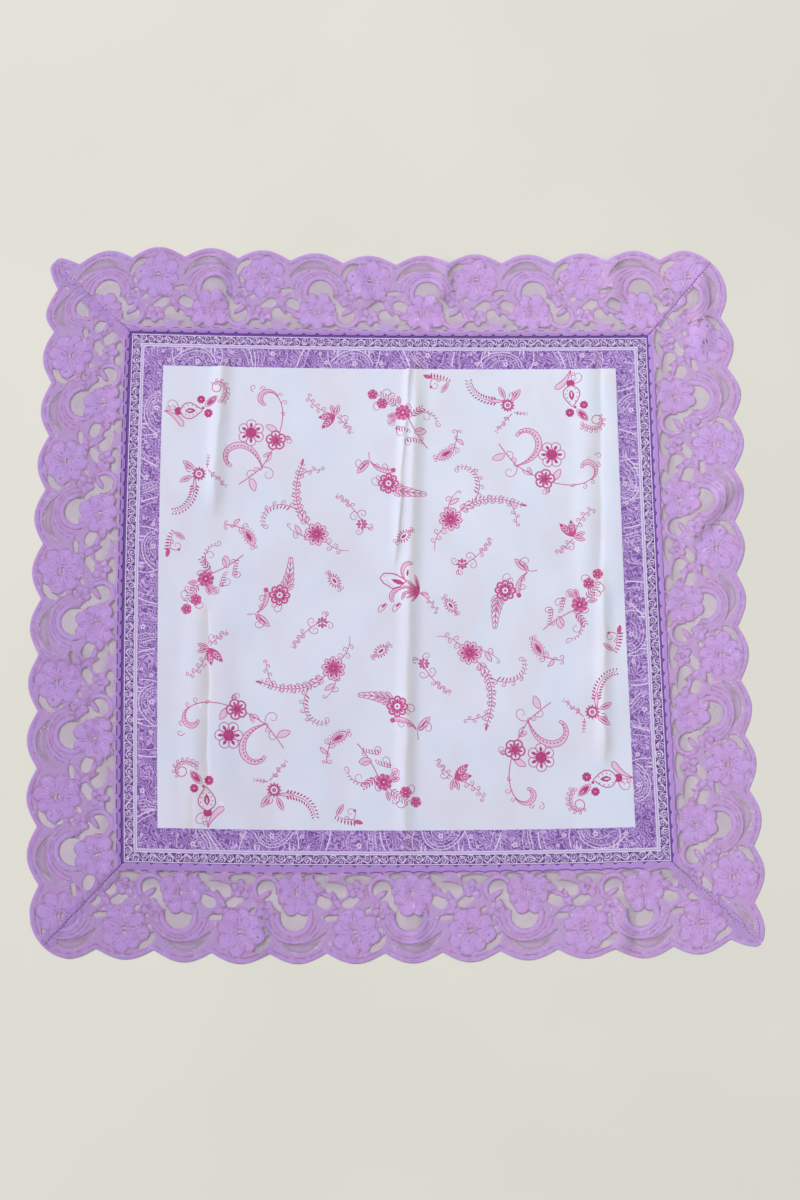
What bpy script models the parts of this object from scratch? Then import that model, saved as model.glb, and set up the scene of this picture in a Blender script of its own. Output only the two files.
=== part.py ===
"""A square printed cotton scarf with a mitred lace edging, laid out flat.

The scarf is drawn first as its flat pattern, the way it was cut: one square of
cotton and four equal strips of scalloped lace, mitred at the corners. Each point
of the pattern is then laid down where it lies on the table, which pulls the
corners and edges out of true and raises a few creases.

All sizes are in millimetres until the points are placed, in metres.
"""

from math import cos, hypot, pi, radians, sin, sqrt
from typing import NamedTuple

import bmesh
import bpy

METRES = 0.001

# Cotton square
SHOWN_HALF = 260.0
HEM_UNDER_LACE = 6.0
COTTON_HALF = SHOWN_HALF + HEM_UNDER_LACE
COTTON_THICKNESS = 1.0

# Lace strips: v is measured outwards from the heading's inner edge
LACE_WIDTH = 88.0
LACE_HALF = SHOWN_HALF + LACE_WIDTH
LACE_THICKNESS = 1.2
PIECE_GAP = 0.3
MITRE_GAP = 0.4
SCALLOP_DEPTH = 9.5
REPEAT_DRAWN = 108.0
FLOWER_U = 27.0
CUSPS_PER_REPEAT = 8
CUSP_DEPTH = 2.6
CUSP_SHOULDER = 0.24
EDGE_STEPS_PER_REPEAT = 12

# The heading lies on the cotton's hem, then the lace steps down to the table
HEADING_LEVEL = COTTON_THICKNESS + PIECE_GAP
STEP_START = 8.0
STEP_END = 24.0

# Gaps keep this much lace between themselves and an edge
GAP_TO_HEADING = 5.0
GAP_TO_SCALLOP = 3.0
GAP_TO_MITRE = 5.0
MOST_GAPS = 300

# No crease is raised where the heading is sewn to the cotton
SEAM_FLAT_FROM = 248.0
SEAM_FLAT_TO = SHOWN_HALF + STEP_END
SEAM_FADE = 22.0
CREASE_END_FADE = 0.18


class Strip(NamedTuple):
    """One length of lace. Peaks outside first_peak to last_peak run into the rounded corner."""

    name: str
    along: tuple
    outwards: tuple
    repeat: float
    flower: float
    first_peak: float
    last_peak: float
    start_radius: float
    end_radius: float
    start_slip: float = 0.0


STRIPS = (
    Strip("lace_front", (1, 0), (0, -1), 109.5, -40.5, -314.0, 348.0, 38.0, 10.0),
    Strip("lace_right", (0, 1), (1, 0), 106.0, -68.0, -348.0, 303.0, 10.0, 42.0),
    Strip("lace_back", (-1, 0), (0, 1), 109.2, 17.6, -310.0, 348.0, 42.0, 14.0),
    Strip("lace_left", (0, -1), (-1, 0), 110.0, -22.0, -348.0, 305.0, 14.0, 38.0, 11.0),
)

# A strip's repeat slips along it towards its start: in full from the first of
# these distances from its middle, and not at all up to the second
SLIP_FULL = 315.0
SLIP_NONE = 255.0
SLIP_ROUNDS = 8


class Corner(NamedTuple):
    """Where a corner of the shown cotton, and of the lace, comes to lie."""

    cotton: tuple
    lace: tuple


CORNERS = {
    (-1, -1): Corner((-262.0, -251.0), (-344.5, -338.5)),
    (1, -1): Corner((257.5, -250.0), (341.5, -327.0)),
    (1, 1): Corner((249.0, 267.5), (327.0, 359.0)),
    (-1, 1): Corner((-270.5, 272.0), (-355.0, 351.0)),
}

# How far each edge bows outwards: the cotton's at its middle, and the lace's
# at eight equal steps from one corner to the next
COTTON_BOW = {"lace_front": 3.8, "lace_right": -1.0, "lace_back": -2.6, "lace_left": 3.3}
LACE_BOW = {
    "lace_front": (0.0, 2.0, 7.0, 9.0, 10.0, 9.5, 8.5, 8.5, 0.0),
    "lace_right": (0.0, 4.5, 2.5, 1.5, 3.0, 6.5, 11.0, 5.0, 0.0),
    "lace_back": (0.0, 1.0, -2.0, -1.0, -2.0, 3.0, 8.5, 10.0, 0.0),
    "lace_left": (0.0, 4.5, 6.0, 9.0, 10.0, 10.5, 9.5, 6.5, 0.0),
}


class Gap(NamedTuple):
    """An opening of the lace pattern: a leaf or oval, bent along its length.

    u and v are its middle, angle turns its length from the strip's, bend is the
    rise of its middle over its ends, and side_points are the points on each side.
    """

    u: float
    v: float
    length: float
    width: float
    angle: float
    bend: float
    side_points: int


GAPS = (
    Gap(76.5, 51.5, 27.0, 14.0, 4.0, 3.5, 3),
    Gap(8.0, 20.5, 28.0, 13.0, 0.0, 0.0, 2),
    Gap(82.0, 76.5, 46.0, 8.0, 0.0, 14.0, 4),
    Gap(22.5, 34.0, 29.0, 8.0, -22.0, 0.0, 2),
    Gap(54.5, 31.0, 18.0, 10.0, -12.0, 0.0, 2),
    Gap(32.8, 11.5, 24.0, 7.5, 0.0, 0.0, 2),
    Gap(-1.5, 34.5, 13.0, 9.0, 20.0, 0.0, 2),
    Gap(48.0, 18.8, 14.0, 6.5, 8.0, 0.0, 2),
    Gap(-9.7, 9.0, 18.0, 6.0, 0.0, 0.0, 2),
    Gap(47.0, 72.5, 19.0, 5.5, -34.0, 1.5, 2),
    Gap(69.5, 10.8, 16.0, 5.0, 0.0, 0.0, 2),
    Gap(5.3, 47.5, 14.0, 5.0, -10.0, 0.0, 2),
)


class Crease(NamedTuple):
    """A soft ridge from one point of the pattern to another."""

    x0: float
    y0: float
    x1: float
    y1: float
    height: float
    half_width: float


# The two folds in the middle of the cotton
PINCH = Crease(23.5, 262.0, 4.5, 20.0, 2.0, 7.0)
MIDDLE_FOLD = Crease(29.0, 262.0, 6.5, -262.0, 2.9, 12.0)

# The left and right folds: a ridge for one part of their length, two ridges beside a trough for the other
LEFT_RIDGE = Crease(-165.5, 262.0, -173.7, 70.0, 2.6, 12.0)
LEFT_TROUGH = (
    Crease(-187.0, 0.0, -189.0, -250.0, 1.7, 20.0),
    Crease(-167.0, 0.0, -168.5, -215.0, 1.5, 22.0),
)
RIGHT_RIDGE = Crease(207.5, 30.0, 199.5, -175.0, 2.4, 10.0)
RIGHT_TROUGH = (
    Crease(202.0, 262.0, 192.5, -20.0, 1.7, 20.0),
    Crease(223.0, 262.0, 213.5, -20.0, 1.6, 20.0),
)

CREASES = (
    LEFT_RIDGE,
    *LEFT_TROUGH,
    PINCH,
    MIDDLE_FOLD,
    *RIGHT_TROUGH,
    RIGHT_RIDGE,
    Crease(-180.0, -170.0, -118.0, -244.0, 1.8, 16.0),
    Crease(-170.0, 262.0, -173.0, 350.0, 2.4, 15.0),
    Crease(-38.0, 345.0, -14.0, 280.0, 2.2, 12.0),
    Crease(66.0, 350.0, 42.0, 262.0, 2.4, 15.0),
    Crease(230.0, 262.0, 233.0, 350.0, 2.8, 15.0),
    Crease(322.0, 330.0, 318.0, 235.0, 3.0, 15.0),
    Crease(346.0, 112.0, 282.0, 40.0, 3.0, 16.0),
    Crease(214.0, -262.0, 213.0, -348.0, 2.8, 14.0),
    Crease(18.0, -262.0, 19.0, -345.0, 2.0, 13.0),
    Crease(-286.0, -70.0, -344.0, -52.0, 2.0, 15.0),
    Crease(-140.0, -276.0, -128.0, -345.0, 1.8, 15.0),
)


class Swell(NamedTuple):
    """A round place where the cotton stands a little off the table."""

    x: float
    y: float
    height: float
    radius: float


SWELLS = (
    Swell(-95.0, 130.0, 1.6, 70.0),
    Swell(112.0, 70.0, 1.8, 75.0),
    Swell(108.0, -130.0, 1.5, 70.0),
    Swell(-80.0, -95.0, 1.6, 75.0),
)

# Cotton mesh: lines that its columns follow, the number of columns between them, and rows
LEFT_GUIDE = Crease(-166.0, 262.0, -179.5, -262.0, 0.0, 16.0)
MIDDLE_GUIDE = MIDDLE_FOLD
RIGHT_GUIDE = Crease(213.0, 262.0, 199.0, -175.0, 0.0, 15.0)
FOLD_COLUMNS = (-1.0, -0.5, 0.0, 0.5, 1.0)
LEAST_COLUMN = 2.0
COLUMNS_BETWEEN = (1, 4, 4, 1)
ROWS = (-266, -250, -237, -225, -190, -152, -114, -76, -38, 0, 38, 76, 114, 152, 190, 225, 237, 250, 266)

COTTON_COLOUR = (0.66, 0.70, 0.80, 1.0)
LACE_COLOUR = (0.48, 0.32, 0.68, 1.0)


def smooth_step(amount):
    """Ease from 0 to 1 as the amount goes from 0 to 1."""
    held = min(max(amount, 0.0), 1.0)
    return held * held * (3.0 - 2.0 * held)


def hump(amount):
    """A smooth hump: 1 in the middle, and exactly 0 from one outwards."""
    if abs(amount) >= 1.0:
        return 0.0
    return (1.0 - amount * amount) ** 2


def blend(start, end, amount):
    """The point between two points."""
    return (
        start[0] + (end[0] - start[0]) * amount,
        start[1] + (end[1] - start[1]) * amount,
    )


def smooth_between(values, amount):
    """Read a smooth curve through equally spaced values, at 0 to 1 of its length."""
    place = min(max(amount, 0.0), 1.0) * (len(values) - 1)
    index = min(int(place), len(values) - 2)
    part = place - index
    before = values[max(index - 1, 0)]
    first = values[index]
    second = values[index + 1]
    after = values[min(index + 2, len(values) - 1)]
    slope_first = (second - before) / 2.0
    slope_second = (after - first) / 2.0
    cube = part ** 3
    square = part ** 2
    return (
        (2 * cube - 3 * square + 1) * first
        + (cube - 2 * square + part) * slope_first
        + (3 * square - 2 * cube) * second
        + (cube - square) * slope_second
    )


def pattern_point(strip, s, v):
    """Turn a strip's own place, s along it and v outwards, into the pattern's x and y."""
    out = SHOWN_HALF + v
    return (
        strip.along[0] * s + strip.outwards[0] * out,
        strip.along[1] * s + strip.outwards[1] * out,
    )


def lay_cotton(x, y):
    """Lay a point of the shown cotton: its four corners pulled out of true, its edges bowed."""
    across = (x / SHOWN_HALF + 1.0) / 2.0
    up = (y / SHOWN_HALF + 1.0) / 2.0
    front = blend(CORNERS[(-1, -1)].cotton, CORNERS[(1, -1)].cotton, across)
    back = blend(CORNERS[(-1, 1)].cotton, CORNERS[(1, 1)].cotton, across)
    place = blend(front, back, up)
    arch_x = 1.0 - (x / SHOWN_HALF) ** 2
    arch_y = 1.0 - (y / SHOWN_HALF) ** 2
    bow_y = arch_x * (COTTON_BOW["lace_back"] * up - COTTON_BOW["lace_front"] * (1.0 - up))
    bow_x = arch_y * (COTTON_BOW["lace_right"] * across - COTTON_BOW["lace_left"] * (1.0 - across))
    return place[0] + bow_x, place[1] + bow_y


def lay_outer_edge(strip, amount):
    """Lay a point of the line through the scallops' peaks, at -1 to 1 along a strip."""
    along = strip.along
    out = strip.outwards
    start = CORNERS[(out[0] - along[0], out[1] - along[1])].lace
    end = CORNERS[(out[0] + along[0], out[1] + along[1])].lace
    part = (amount + 1.0) / 2.0
    bow = smooth_between(LACE_BOW[strip.name], part)
    place = blend(start, end, part)
    return place[0] + out[0] * bow, place[1] + out[1] * bow


def nearest_strip(x, y):
    """The strip whose side of the pattern holds a point."""
    return max(STRIPS, key=lambda strip: strip.outwards[0] * x + strip.outwards[1] * y)


def lay(x, y):
    """Lay a point of the flat pattern on the table."""
    reach = max(abs(x), abs(y))
    if reach <= SHOWN_HALF:
        return lay_cotton(x, y)
    strip = nearest_strip(x, y)
    amount = (strip.along[0] * x + strip.along[1] * y) / reach
    inner_x, inner_y = pattern_point(strip, amount * SHOWN_HALF, 0.0)
    inner = lay_cotton(inner_x, inner_y)
    outer = lay_outer_edge(strip, amount)
    return blend(inner, outer, (reach - SHOWN_HALF) / LACE_WIDTH)


def crease_rise(crease, x, y):
    """How high one crease lifts a point of the pattern."""
    run_x = crease.x1 - crease.x0
    run_y = crease.y1 - crease.y0
    length = hypot(run_x, run_y)
    part = ((x - crease.x0) * run_x + (y - crease.y0) * run_y) / length ** 2
    if part <= 0.0 or part >= 1.0:
        return 0.0
    off = ((x - crease.x0) * run_y - (y - crease.y0) * run_x) / length
    ends = smooth_step(part / CREASE_END_FADE) * smooth_step((1.0 - part) / CREASE_END_FADE)
    return crease.height * ends * hump(off / crease.half_width)


def rise(x, y):
    """How high the creases and swells lift a point of the pattern."""
    reach = max(abs(x), abs(y))
    inside = smooth_step((SEAM_FLAT_FROM - reach) / SEAM_FADE)
    outside = smooth_step((reach - SEAM_FLAT_TO) / SEAM_FADE)
    free = max(inside, outside)
    if free == 0.0:
        return 0.0
    folds = max(crease_rise(crease, x, y) for crease in CREASES)
    swells = sum(swell.height * hump(hypot(x - swell.x, y - swell.y) / swell.radius) for swell in SWELLS)
    return free * max(folds, swells)


def lace_level(x, y):
    """The level that the lace steps down from, on the cotton's hem, to the table."""
    v = max(abs(x), abs(y)) - SHOWN_HALF
    down = smooth_step((v - STEP_START) / (STEP_END - STEP_START))
    return HEADING_LEVEL * (1.0 - down)


def corner_drop(radius, distance):
    """How far a rounded corner falls short of the peak line, at a distance from the corner."""
    if distance >= radius:
        return 0.0
    short = radius - max(distance, 0.0)
    return radius - sqrt(radius ** 2 - short ** 2)


def laid_s(strip, drawn):
    """Where a place of the regular repeat comes to lie along the strip."""
    return drawn + strip.start_slip * smooth_step((-drawn - SLIP_NONE) / (SLIP_FULL - SLIP_NONE))


def drawn_s(strip, s):
    """The place of the regular repeat that comes to lie at a place along the strip."""
    drawn = s
    for _ in range(SLIP_ROUNDS):
        drawn += s - laid_s(strip, drawn)
    return drawn


def edge_v(strip, s):
    """The scalloped outer edge's v at a place along the strip."""
    held = min(max(drawn_s(strip, s), strip.first_peak), strip.last_peak)
    valley = 1.0 - abs(cos(2.0 * pi * (held - strip.flower) / strip.repeat))
    start = corner_drop(strip.start_radius, LACE_HALF + s)
    end = corner_drop(strip.end_radius, LACE_HALF - s)
    return LACE_WIDTH - hypot(SCALLOP_DEPTH * valley, start + end)


def mitre_s(v):
    """Half the strip's length at v, where the mitre cuts it."""
    return SHOWN_HALF + v - MITRE_GAP / sqrt(2.0)


def mitre_end(strip, side):
    """Where the scalloped edge meets the mitre, at the start (-1) or the end (1) of the strip."""
    low = LACE_HALF - LACE_WIDTH / 2.0
    high = LACE_HALF
    for _ in range(30):
        middle = (low + high) / 2.0
        if mitre_s(edge_v(strip, side * middle)) > middle:
            low = middle
        else:
            high = middle
    return side * low, edge_v(strip, side * low)


def outer_edge(strip):
    """The scalloped edge from the end mitre back to the start mitre."""
    start = mitre_end(strip, -1)
    end = mitre_end(strip, 1)
    step = strip.repeat / EDGE_STEPS_PER_REPEAT
    points = []
    count = int(LACE_HALF / step) + 3
    for index in range(-2 * count, 2 * count):
        s = laid_s(strip, strip.flower + index * step / 2.0)
        near_corner = s < start[0] + strip.start_radius or s > end[0] - strip.end_radius
        if index % 2 and not near_corner:
            continue
        if start[0] + step / 4.0 < s < end[0] - step / 4.0:
            points.append((s, edge_v(strip, s)))
    return [end] + points[::-1] + [start]


def heading_edge(strip):
    """The small scallops of the heading's inner edge, from the start mitre to the end."""
    pitch = strip.repeat / CUSPS_PER_REPEAT
    points = [(-mitre_s(0.0), 0.0)]
    count = int(SHOWN_HALF / pitch) + 2
    for index in range(-count, count):
        cusp = strip.flower + index * pitch
        for off, v in ((0.0, CUSP_DEPTH), (CUSP_SHOULDER, 0.0), (1.0 - CUSP_SHOULDER, 0.0)):
            s = cusp + off * pitch
            if abs(s) < mitre_s(0.0) - pitch * CUSP_SHOULDER:
                points.append((s, v))
    points.append((mitre_s(0.0), 0.0))
    return points


def gap_outline(gap):
    """The gap's points round its own middle, tip to tip and back."""
    turn = radians(gap.angle)
    upper = []
    lower = []
    for index in range(gap.side_points):
        part = 2.0 * (index + 0.75) / (gap.side_points + 0.5) - 1.0
        half = gap.width / 2.0 * sqrt(1.0 - part ** 4)
        upper.append((part, half))
        lower.append((part, -half))
    outline = [(-1.0, 0.0)] + upper + [(1.0, 0.0)] + lower[::-1]
    points = []
    for part, off in outline:
        along = part * gap.length / 2.0
        across = off - gap.bend * part * part
        points.append((along * cos(turn) - across * sin(turn), along * sin(turn) + across * cos(turn)))
    return points


def gap_is_clear(strip, points):
    """Whether a gap keeps its distance from the strip's edges and mitres."""
    for s, v in points:
        if v < GAP_TO_HEADING or v > edge_v(strip, s) - GAP_TO_SCALLOP:
            return False
        if abs(s) > SHOWN_HALF + v - GAP_TO_MITRE:
            return False
    return True


def strip_gaps(strip):
    """Every gap of a strip, repeat after repeat."""
    stretch = strip.repeat / REPEAT_DRAWN
    count = int(LACE_HALF / strip.repeat) + 2
    found = []
    for index in range(-count, count):
        for gap in GAPS:
            middle = strip.flower + index * strip.repeat + (gap.u - FLOWER_U) * stretch
            points = [(laid_s(strip, middle + du * stretch), gap.v + dv) for du, dv in gap_outline(gap)]
            if gap_is_clear(strip, points):
                found.append(points)
    return found


def make_material(name, colour, roughness):
    """A plain finish for one piece."""
    material = bpy.data.materials.new(name)
    material.use_nodes = True
    shader = material.node_tree.nodes["Principled BSDF"]
    shader.inputs["Base Color"].default_value = colour
    shader.inputs["Roughness"].default_value = roughness
    shader.inputs["Metallic"].default_value = 0.0
    return material


def make_object(name, mesh, material, collection):
    """Put a mesh in the scarf's collection under its own name."""
    mesh.materials.clear()
    mesh.materials.append(material)
    piece = bpy.data.objects.new(name, mesh)
    collection.objects.link(piece)
    return piece


def add_outline(curve, points):
    """Add one closed outline to a flat curve."""
    spline = curve.splines.new("POLY")
    spline.points.add(len(points) - 1)
    for point, (s, v) in zip(spline.points, points):
        point.co = (s, v, 0.0, 1.0)
    spline.use_cyclic_u = True


def flat_plate(name, outlines, thickness):
    """A flat plate with its outlines cut out of it, as a welded mesh."""
    curve = bpy.data.curves.new(name, "CURVE")
    curve.dimensions = "2D"
    curve.fill_mode = "BOTH"
    curve.extrude = thickness / 2.0
    for points in outlines:
        add_outline(curve, points)
    guide = bpy.data.objects.new(name, curve)
    bpy.context.scene.collection.objects.link(guide)
    bpy.context.view_layer.update()
    evaluated = guide.evaluated_get(bpy.context.evaluated_depsgraph_get())
    mesh = bpy.data.meshes.new_from_object(evaluated)
    bpy.data.objects.remove(guide)
    bpy.data.curves.remove(curve)
    return mesh


def even_out(shape):
    """Turn the edges inside the plate's two flat faces, so that few triangles are slivers."""
    level = [face for face in shape.faces if abs(face.normal.z) > 0.5]
    inner = [edge for edge in shape.edges if all(abs(face.normal.z) > 0.5 for face in edge.link_faces)]
    bmesh.ops.beautify_fill(shape, faces=level, edges=inner)


def build_strip(strip, centre, collection):
    """One lace strip: a flat plate with its gaps, then laid and stepped down to the table."""
    gaps = strip_gaps(strip)
    outline = heading_edge(strip) + outer_edge(strip)
    mesh = flat_plate(strip.name, [outline] + gaps, LACE_THICKNESS)
    shape = bmesh.new()
    shape.from_mesh(mesh)
    bmesh.ops.remove_doubles(shape, verts=shape.verts, dist=0.001)
    whole = shape.verts[:] + shape.edges[:] + shape.faces[:]
    bmesh.ops.bisect_plane(shape, geom=whole, dist=0.001, plane_co=(0, STEP_START, 0), plane_no=(0, 1, 0))
    bmesh.ops.triangulate(shape, faces=shape.faces)
    even_out(shape)
    for vert in shape.verts:
        x, y = pattern_point(strip, vert.co.x, vert.co.y)
        top = LACE_THICKNESS if vert.co.z > 0.0 else 0.0
        level = lace_level(x, y) + rise(x, y) + top
        laid_x, laid_y = lay(x, y)
        vert.co = ((laid_x - centre[0]) * METRES, (laid_y - centre[1]) * METRES, level * METRES)
    bmesh.ops.recalc_face_normals(shape, faces=shape.faces)
    if shape.calc_volume(signed=True) < 0.0:
        bmesh.ops.reverse_faces(shape, faces=shape.faces)
    shape.to_mesh(mesh)
    shape.free()
    material = make_material(strip.name + "_lace", LACE_COLOUR, 0.75)
    make_object(strip.name, mesh, material, collection)
    return len(gaps)


def fold_x(crease, y):
    """Where a fold's line lies across a row."""
    part = (y - crease.y0) / (crease.y1 - crease.y0)
    return crease.x0 + (crease.x1 - crease.x0) * part


def fold_columns(crease, y):
    """Five columns of a row, across one fold."""
    return [fold_x(crease, y) + part * crease.half_width for part in FOLD_COLUMNS]


def row_columns(y):
    """The columns of one row: set on each fold, and evenly spaced between the folds."""
    pinch = fold_x(PINCH, y)
    middle = [pinch - PINCH.half_width, pinch]
    for column in fold_columns(MIDDLE_GUIDE, y):
        middle.append(max(column, middle[-1] + LEAST_COLUMN))
    groups = (fold_columns(LEFT_GUIDE, y), middle, fold_columns(RIGHT_GUIDE, y), [COTTON_HALF])
    columns = [-COTTON_HALF]
    for count, group in zip(COLUMNS_BETWEEN, groups):
        start = columns[-1]
        step = (group[0] - start) / (count + 1)
        columns += [start + step * (index + 1) for index in range(count)]
        columns += group
    return columns


def build_cotton(centre, collection):
    """The cotton square: one sheet whose columns follow its folds, made solid downwards."""
    shape = bmesh.new()
    rows = []
    for y in ROWS:
        row = []
        for x in row_columns(y):
            laid_x, laid_y = lay(x, y)
            level = COTTON_THICKNESS + rise(x, y)
            place = ((laid_x - centre[0]) * METRES, (laid_y - centre[1]) * METRES, level * METRES)
            row.append(shape.verts.new(place))
        rows.append(row)
    for below, above in zip(rows, rows[1:]):
        for index in range(len(below) - 1):
            shape.faces.new((below[index], below[index + 1], above[index + 1], above[index]))
    mesh = bpy.data.meshes.new("cotton_square")
    shape.to_mesh(mesh)
    shape.free()
    material = make_material("printed_cotton", COTTON_COLOUR, 0.85)
    piece = make_object("cotton_square", mesh, material, collection)
    solid = piece.modifiers.new("thickness", "SOLIDIFY")
    solid.thickness = COTTON_THICKNESS * METRES
    solid.offset = -1.0
    return piece


def laid_centre():
    """The middle of the box that holds the laid scarf."""
    places = []
    for strip in STRIPS:
        for s, v in outer_edge(strip):
            places.append(lay(*pattern_point(strip, s, v)))
    xs = [place[0] for place in places]
    ys = [place[1] for place in places]
    return (min(xs) + max(xs)) / 2.0, (min(ys) + max(ys)) / 2.0


def main():
    """Build the scarf in a collection of its own."""
    for old in list(bpy.data.objects):
        bpy.data.objects.remove(old)
    collection = bpy.data.collections.new("lace_edged_scarf")
    bpy.context.scene.collection.children.link(collection)
    centre = laid_centre()
    build_cotton(centre, collection)
    gaps = sum(build_strip(strip, centre, collection) for strip in STRIPS)
    if gaps > MOST_GAPS:
        raise ValueError("the lace has more gaps than the limit")


main()
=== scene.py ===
"""The looks of a square printed cotton scarf with a mitred lace edging, laid out flat.

Everything is drawn on the scarf's flat pattern first, in millimetres, the way it was
cut and sewn: the print on the cotton, and the clothwork, net and stitches on the four
lace strips. Each point is then laid down where it lies on the table, with the same
pulls and creases as the solids of the frame, and only then scaled to metres.
"""

from __future__ import annotations

import logging
from collections.abc import Iterable, Iterator, Sequence
from dataclasses import dataclass, field
from enum import Enum
from math import atan2, cos, degrees, hypot, pi, radians, sin, sqrt

import bpy
import numpy as np
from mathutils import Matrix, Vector
from mathutils.geometry import delaunay_2d_cdt

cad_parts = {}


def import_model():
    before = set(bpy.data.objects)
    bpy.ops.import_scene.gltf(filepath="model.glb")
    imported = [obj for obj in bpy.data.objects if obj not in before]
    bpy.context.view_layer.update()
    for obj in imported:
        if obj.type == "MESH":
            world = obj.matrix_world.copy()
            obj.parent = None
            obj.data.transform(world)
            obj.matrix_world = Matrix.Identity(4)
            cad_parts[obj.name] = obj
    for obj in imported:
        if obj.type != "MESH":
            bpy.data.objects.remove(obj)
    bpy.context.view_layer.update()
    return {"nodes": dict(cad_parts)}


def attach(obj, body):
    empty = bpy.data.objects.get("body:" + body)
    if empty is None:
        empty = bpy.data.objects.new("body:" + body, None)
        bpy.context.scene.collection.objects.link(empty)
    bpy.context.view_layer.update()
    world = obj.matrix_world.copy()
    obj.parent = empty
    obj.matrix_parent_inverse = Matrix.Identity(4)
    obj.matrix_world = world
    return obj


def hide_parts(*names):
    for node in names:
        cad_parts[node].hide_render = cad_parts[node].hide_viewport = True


LOG = logging.getLogger("scarf")
METRES = 0.001

Points = np.ndarray
Pair = tuple[float, float]
Path = list[Pair]


# Flat pattern, in millimetres

SHOWN_HALF = 260.0
COTTON_HALF = 266.0
LACE_WIDTH = 88.0
LACE_HALF = SHOWN_HALF + LACE_WIDTH
MITRE_GAP = 0.4

# The drawn repeat of the lace, and its scallops
REPEAT_DRAWN = 108.0
FLOWER_U = 27.0
SCALLOP_DEPTH = 9.5

# The small arches of the lace's heading
CUSPS_PER_REPEAT = 8
CUSP_DEPTH = 3.0
CUSP_SHOULDER = 0.3

# A strip's repeat slips along it towards its start: in full from the first of
# these distances from its middle, and not at all up to the second
SLIP_FULL = 315.0
SLIP_NONE = 255.0
SLIP_ROUNDS = 8

# Heights of the cotton and of the lace's heading, and where the lace steps down
COTTON_LEVEL = 1.0
HEADING_LEVEL = 1.3
STEP_START = 8.0
STEP_END = 24.0

# The seam lies flat between these distances from the middle
SEAM_FLAT_FROM = 248.0
SEAM_FLAT_TO = SHOWN_HALF + STEP_END
SEAM_FADE = 22.0

# The share of a crease's length over which its ends, and those of its painted shade, fade
CREASE_END_FADE = 0.18
PAINTED_SHADE_END_FADE = 0.06


@dataclass(frozen=True)
class Heading:
    """How far out a strip's heading is set, and the stitches in its arches."""

    shift: float
    line: float
    bow: float
    share: float
    radius: float
    plain_until: float = -LACE_HALF


@dataclass(frozen=True)
class StripPlan:
    """One length of lace: its direction, its repeat, and how its ends round into the corners."""

    name: str
    along: Pair
    outwards: Pair
    repeat: float
    flower: float
    first_peak: float
    last_peak: float
    start_radius: float
    end_radius: float
    start_doubled: float
    end_doubled: float
    heading: Heading
    lace_bow: tuple[float, ...]
    start_slip: float = 0.0

    def pattern(self, s: Points, v: Points) -> tuple[Points, Points]:
        """Turn the strip's own place, s along it and v outwards, into the pattern's x and y."""
        out = SHOWN_HALF + v
        return self.along[0] * s + self.outwards[0] * out, self.along[1] * s + self.outwards[1] * out

    def drawn_s(self, s: Points) -> Points:
        """The place of the regular repeat that comes to lie at a place along the strip."""
        drawn = s
        for _ in range(SLIP_ROUNDS):
            drawn = s - self.start_slip * smooth_step((-drawn - SLIP_NONE) / (SLIP_FULL - SLIP_NONE))
        return drawn

    def drawn_u(self, s: Points) -> Points:
        """The place along the drawn repeat."""
        return FLOWER_U + (self.drawn_s(s) - self.flower) / self.repeat * REPEAT_DRAWN

    def edge_v(self, s: Points) -> Points:
        """The scalloped outer edge's v at places along the strip."""
        held = np.clip(self.drawn_s(s), self.first_peak, self.last_peak)
        valley = 1.0 - np.abs(np.cos(2.0 * pi * (held - self.flower) / self.repeat))
        drop = corner_drop(self.start_radius, LACE_HALF + s) + corner_drop(self.end_radius, LACE_HALF - s)
        return LACE_WIDTH - np.hypot(SCALLOP_DEPTH * valley, drop)

    def heading_v(self, s: Points) -> Points:
        """The heading's inner edge: a row of small arches with a notch between each two."""
        part = np.mod((s - self.flower) / self.repeat * CUSPS_PER_REPEAT, 1.0)
        reach = np.clip(np.minimum(part, 1.0 - part) / CUSP_SHOULDER, 0.0, 1.0)
        return self.heading.shift + CUSP_DEPTH * (1.0 - np.sqrt(1.0 - (1.0 - reach) ** 2))

    def mitre_room(self, s: Points, v: Points) -> Points:
        """How far a place is from the nearer mitre, inside the strip."""
        return (SHOWN_HALF + v - np.abs(s)) / sqrt(2.0) - MITRE_GAP / 2.0


STRIPS = (
    StripPlan("front", (1, 0), (0, -1), 109.5, -40.5, -314.0, 348.0, 38.0, 10.0, 5.0, 9.0,
              Heading(-0.9, 4.3, 1.3, 0.9, 0.5, -60.0),
              (0.0, 2.0, 7.0, 9.0, 10.0, 9.5, 8.5, 8.5, 0.0)),
    StripPlan("right", (0, 1), (1, 0), 106.0, -68.0, -348.0, 303.0, 10.0, 42.0, 4.0, 0.0,
              Heading(0.5, 5.4, 0.7, 0.84, 0.36),
              (0.0, 4.5, 2.5, 1.5, 3.0, 6.5, 11.0, 5.0, 0.0)),
    StripPlan("back", (-1, 0), (0, 1), 109.2, 17.6, -310.0, 348.0, 42.0, 14.0, 3.0, 0.0,
              Heading(0.9, 6.4, 0.3, 0.3, 0.28),
              (0.0, 1.0, -2.0, -1.0, -2.0, 3.0, 8.5, 10.0, 0.0)),
    StripPlan("left", (0, -1), (-1, 0), 110.0, -22.0, -348.0, 305.0, 14.0, 38.0, 10.0, 6.0,
              Heading(1.2, 5.0, 0.4, 0.56, 0.6),
              (0.0, 4.5, 6.0, 9.0, 10.0, 10.5, 9.5, 6.5, 0.0), 11.0),
)


@dataclass(frozen=True)
class Corner:
    """Where a corner of the shown cotton, and of the lace, comes to lie."""

    cotton: Pair
    lace: Pair


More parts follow.
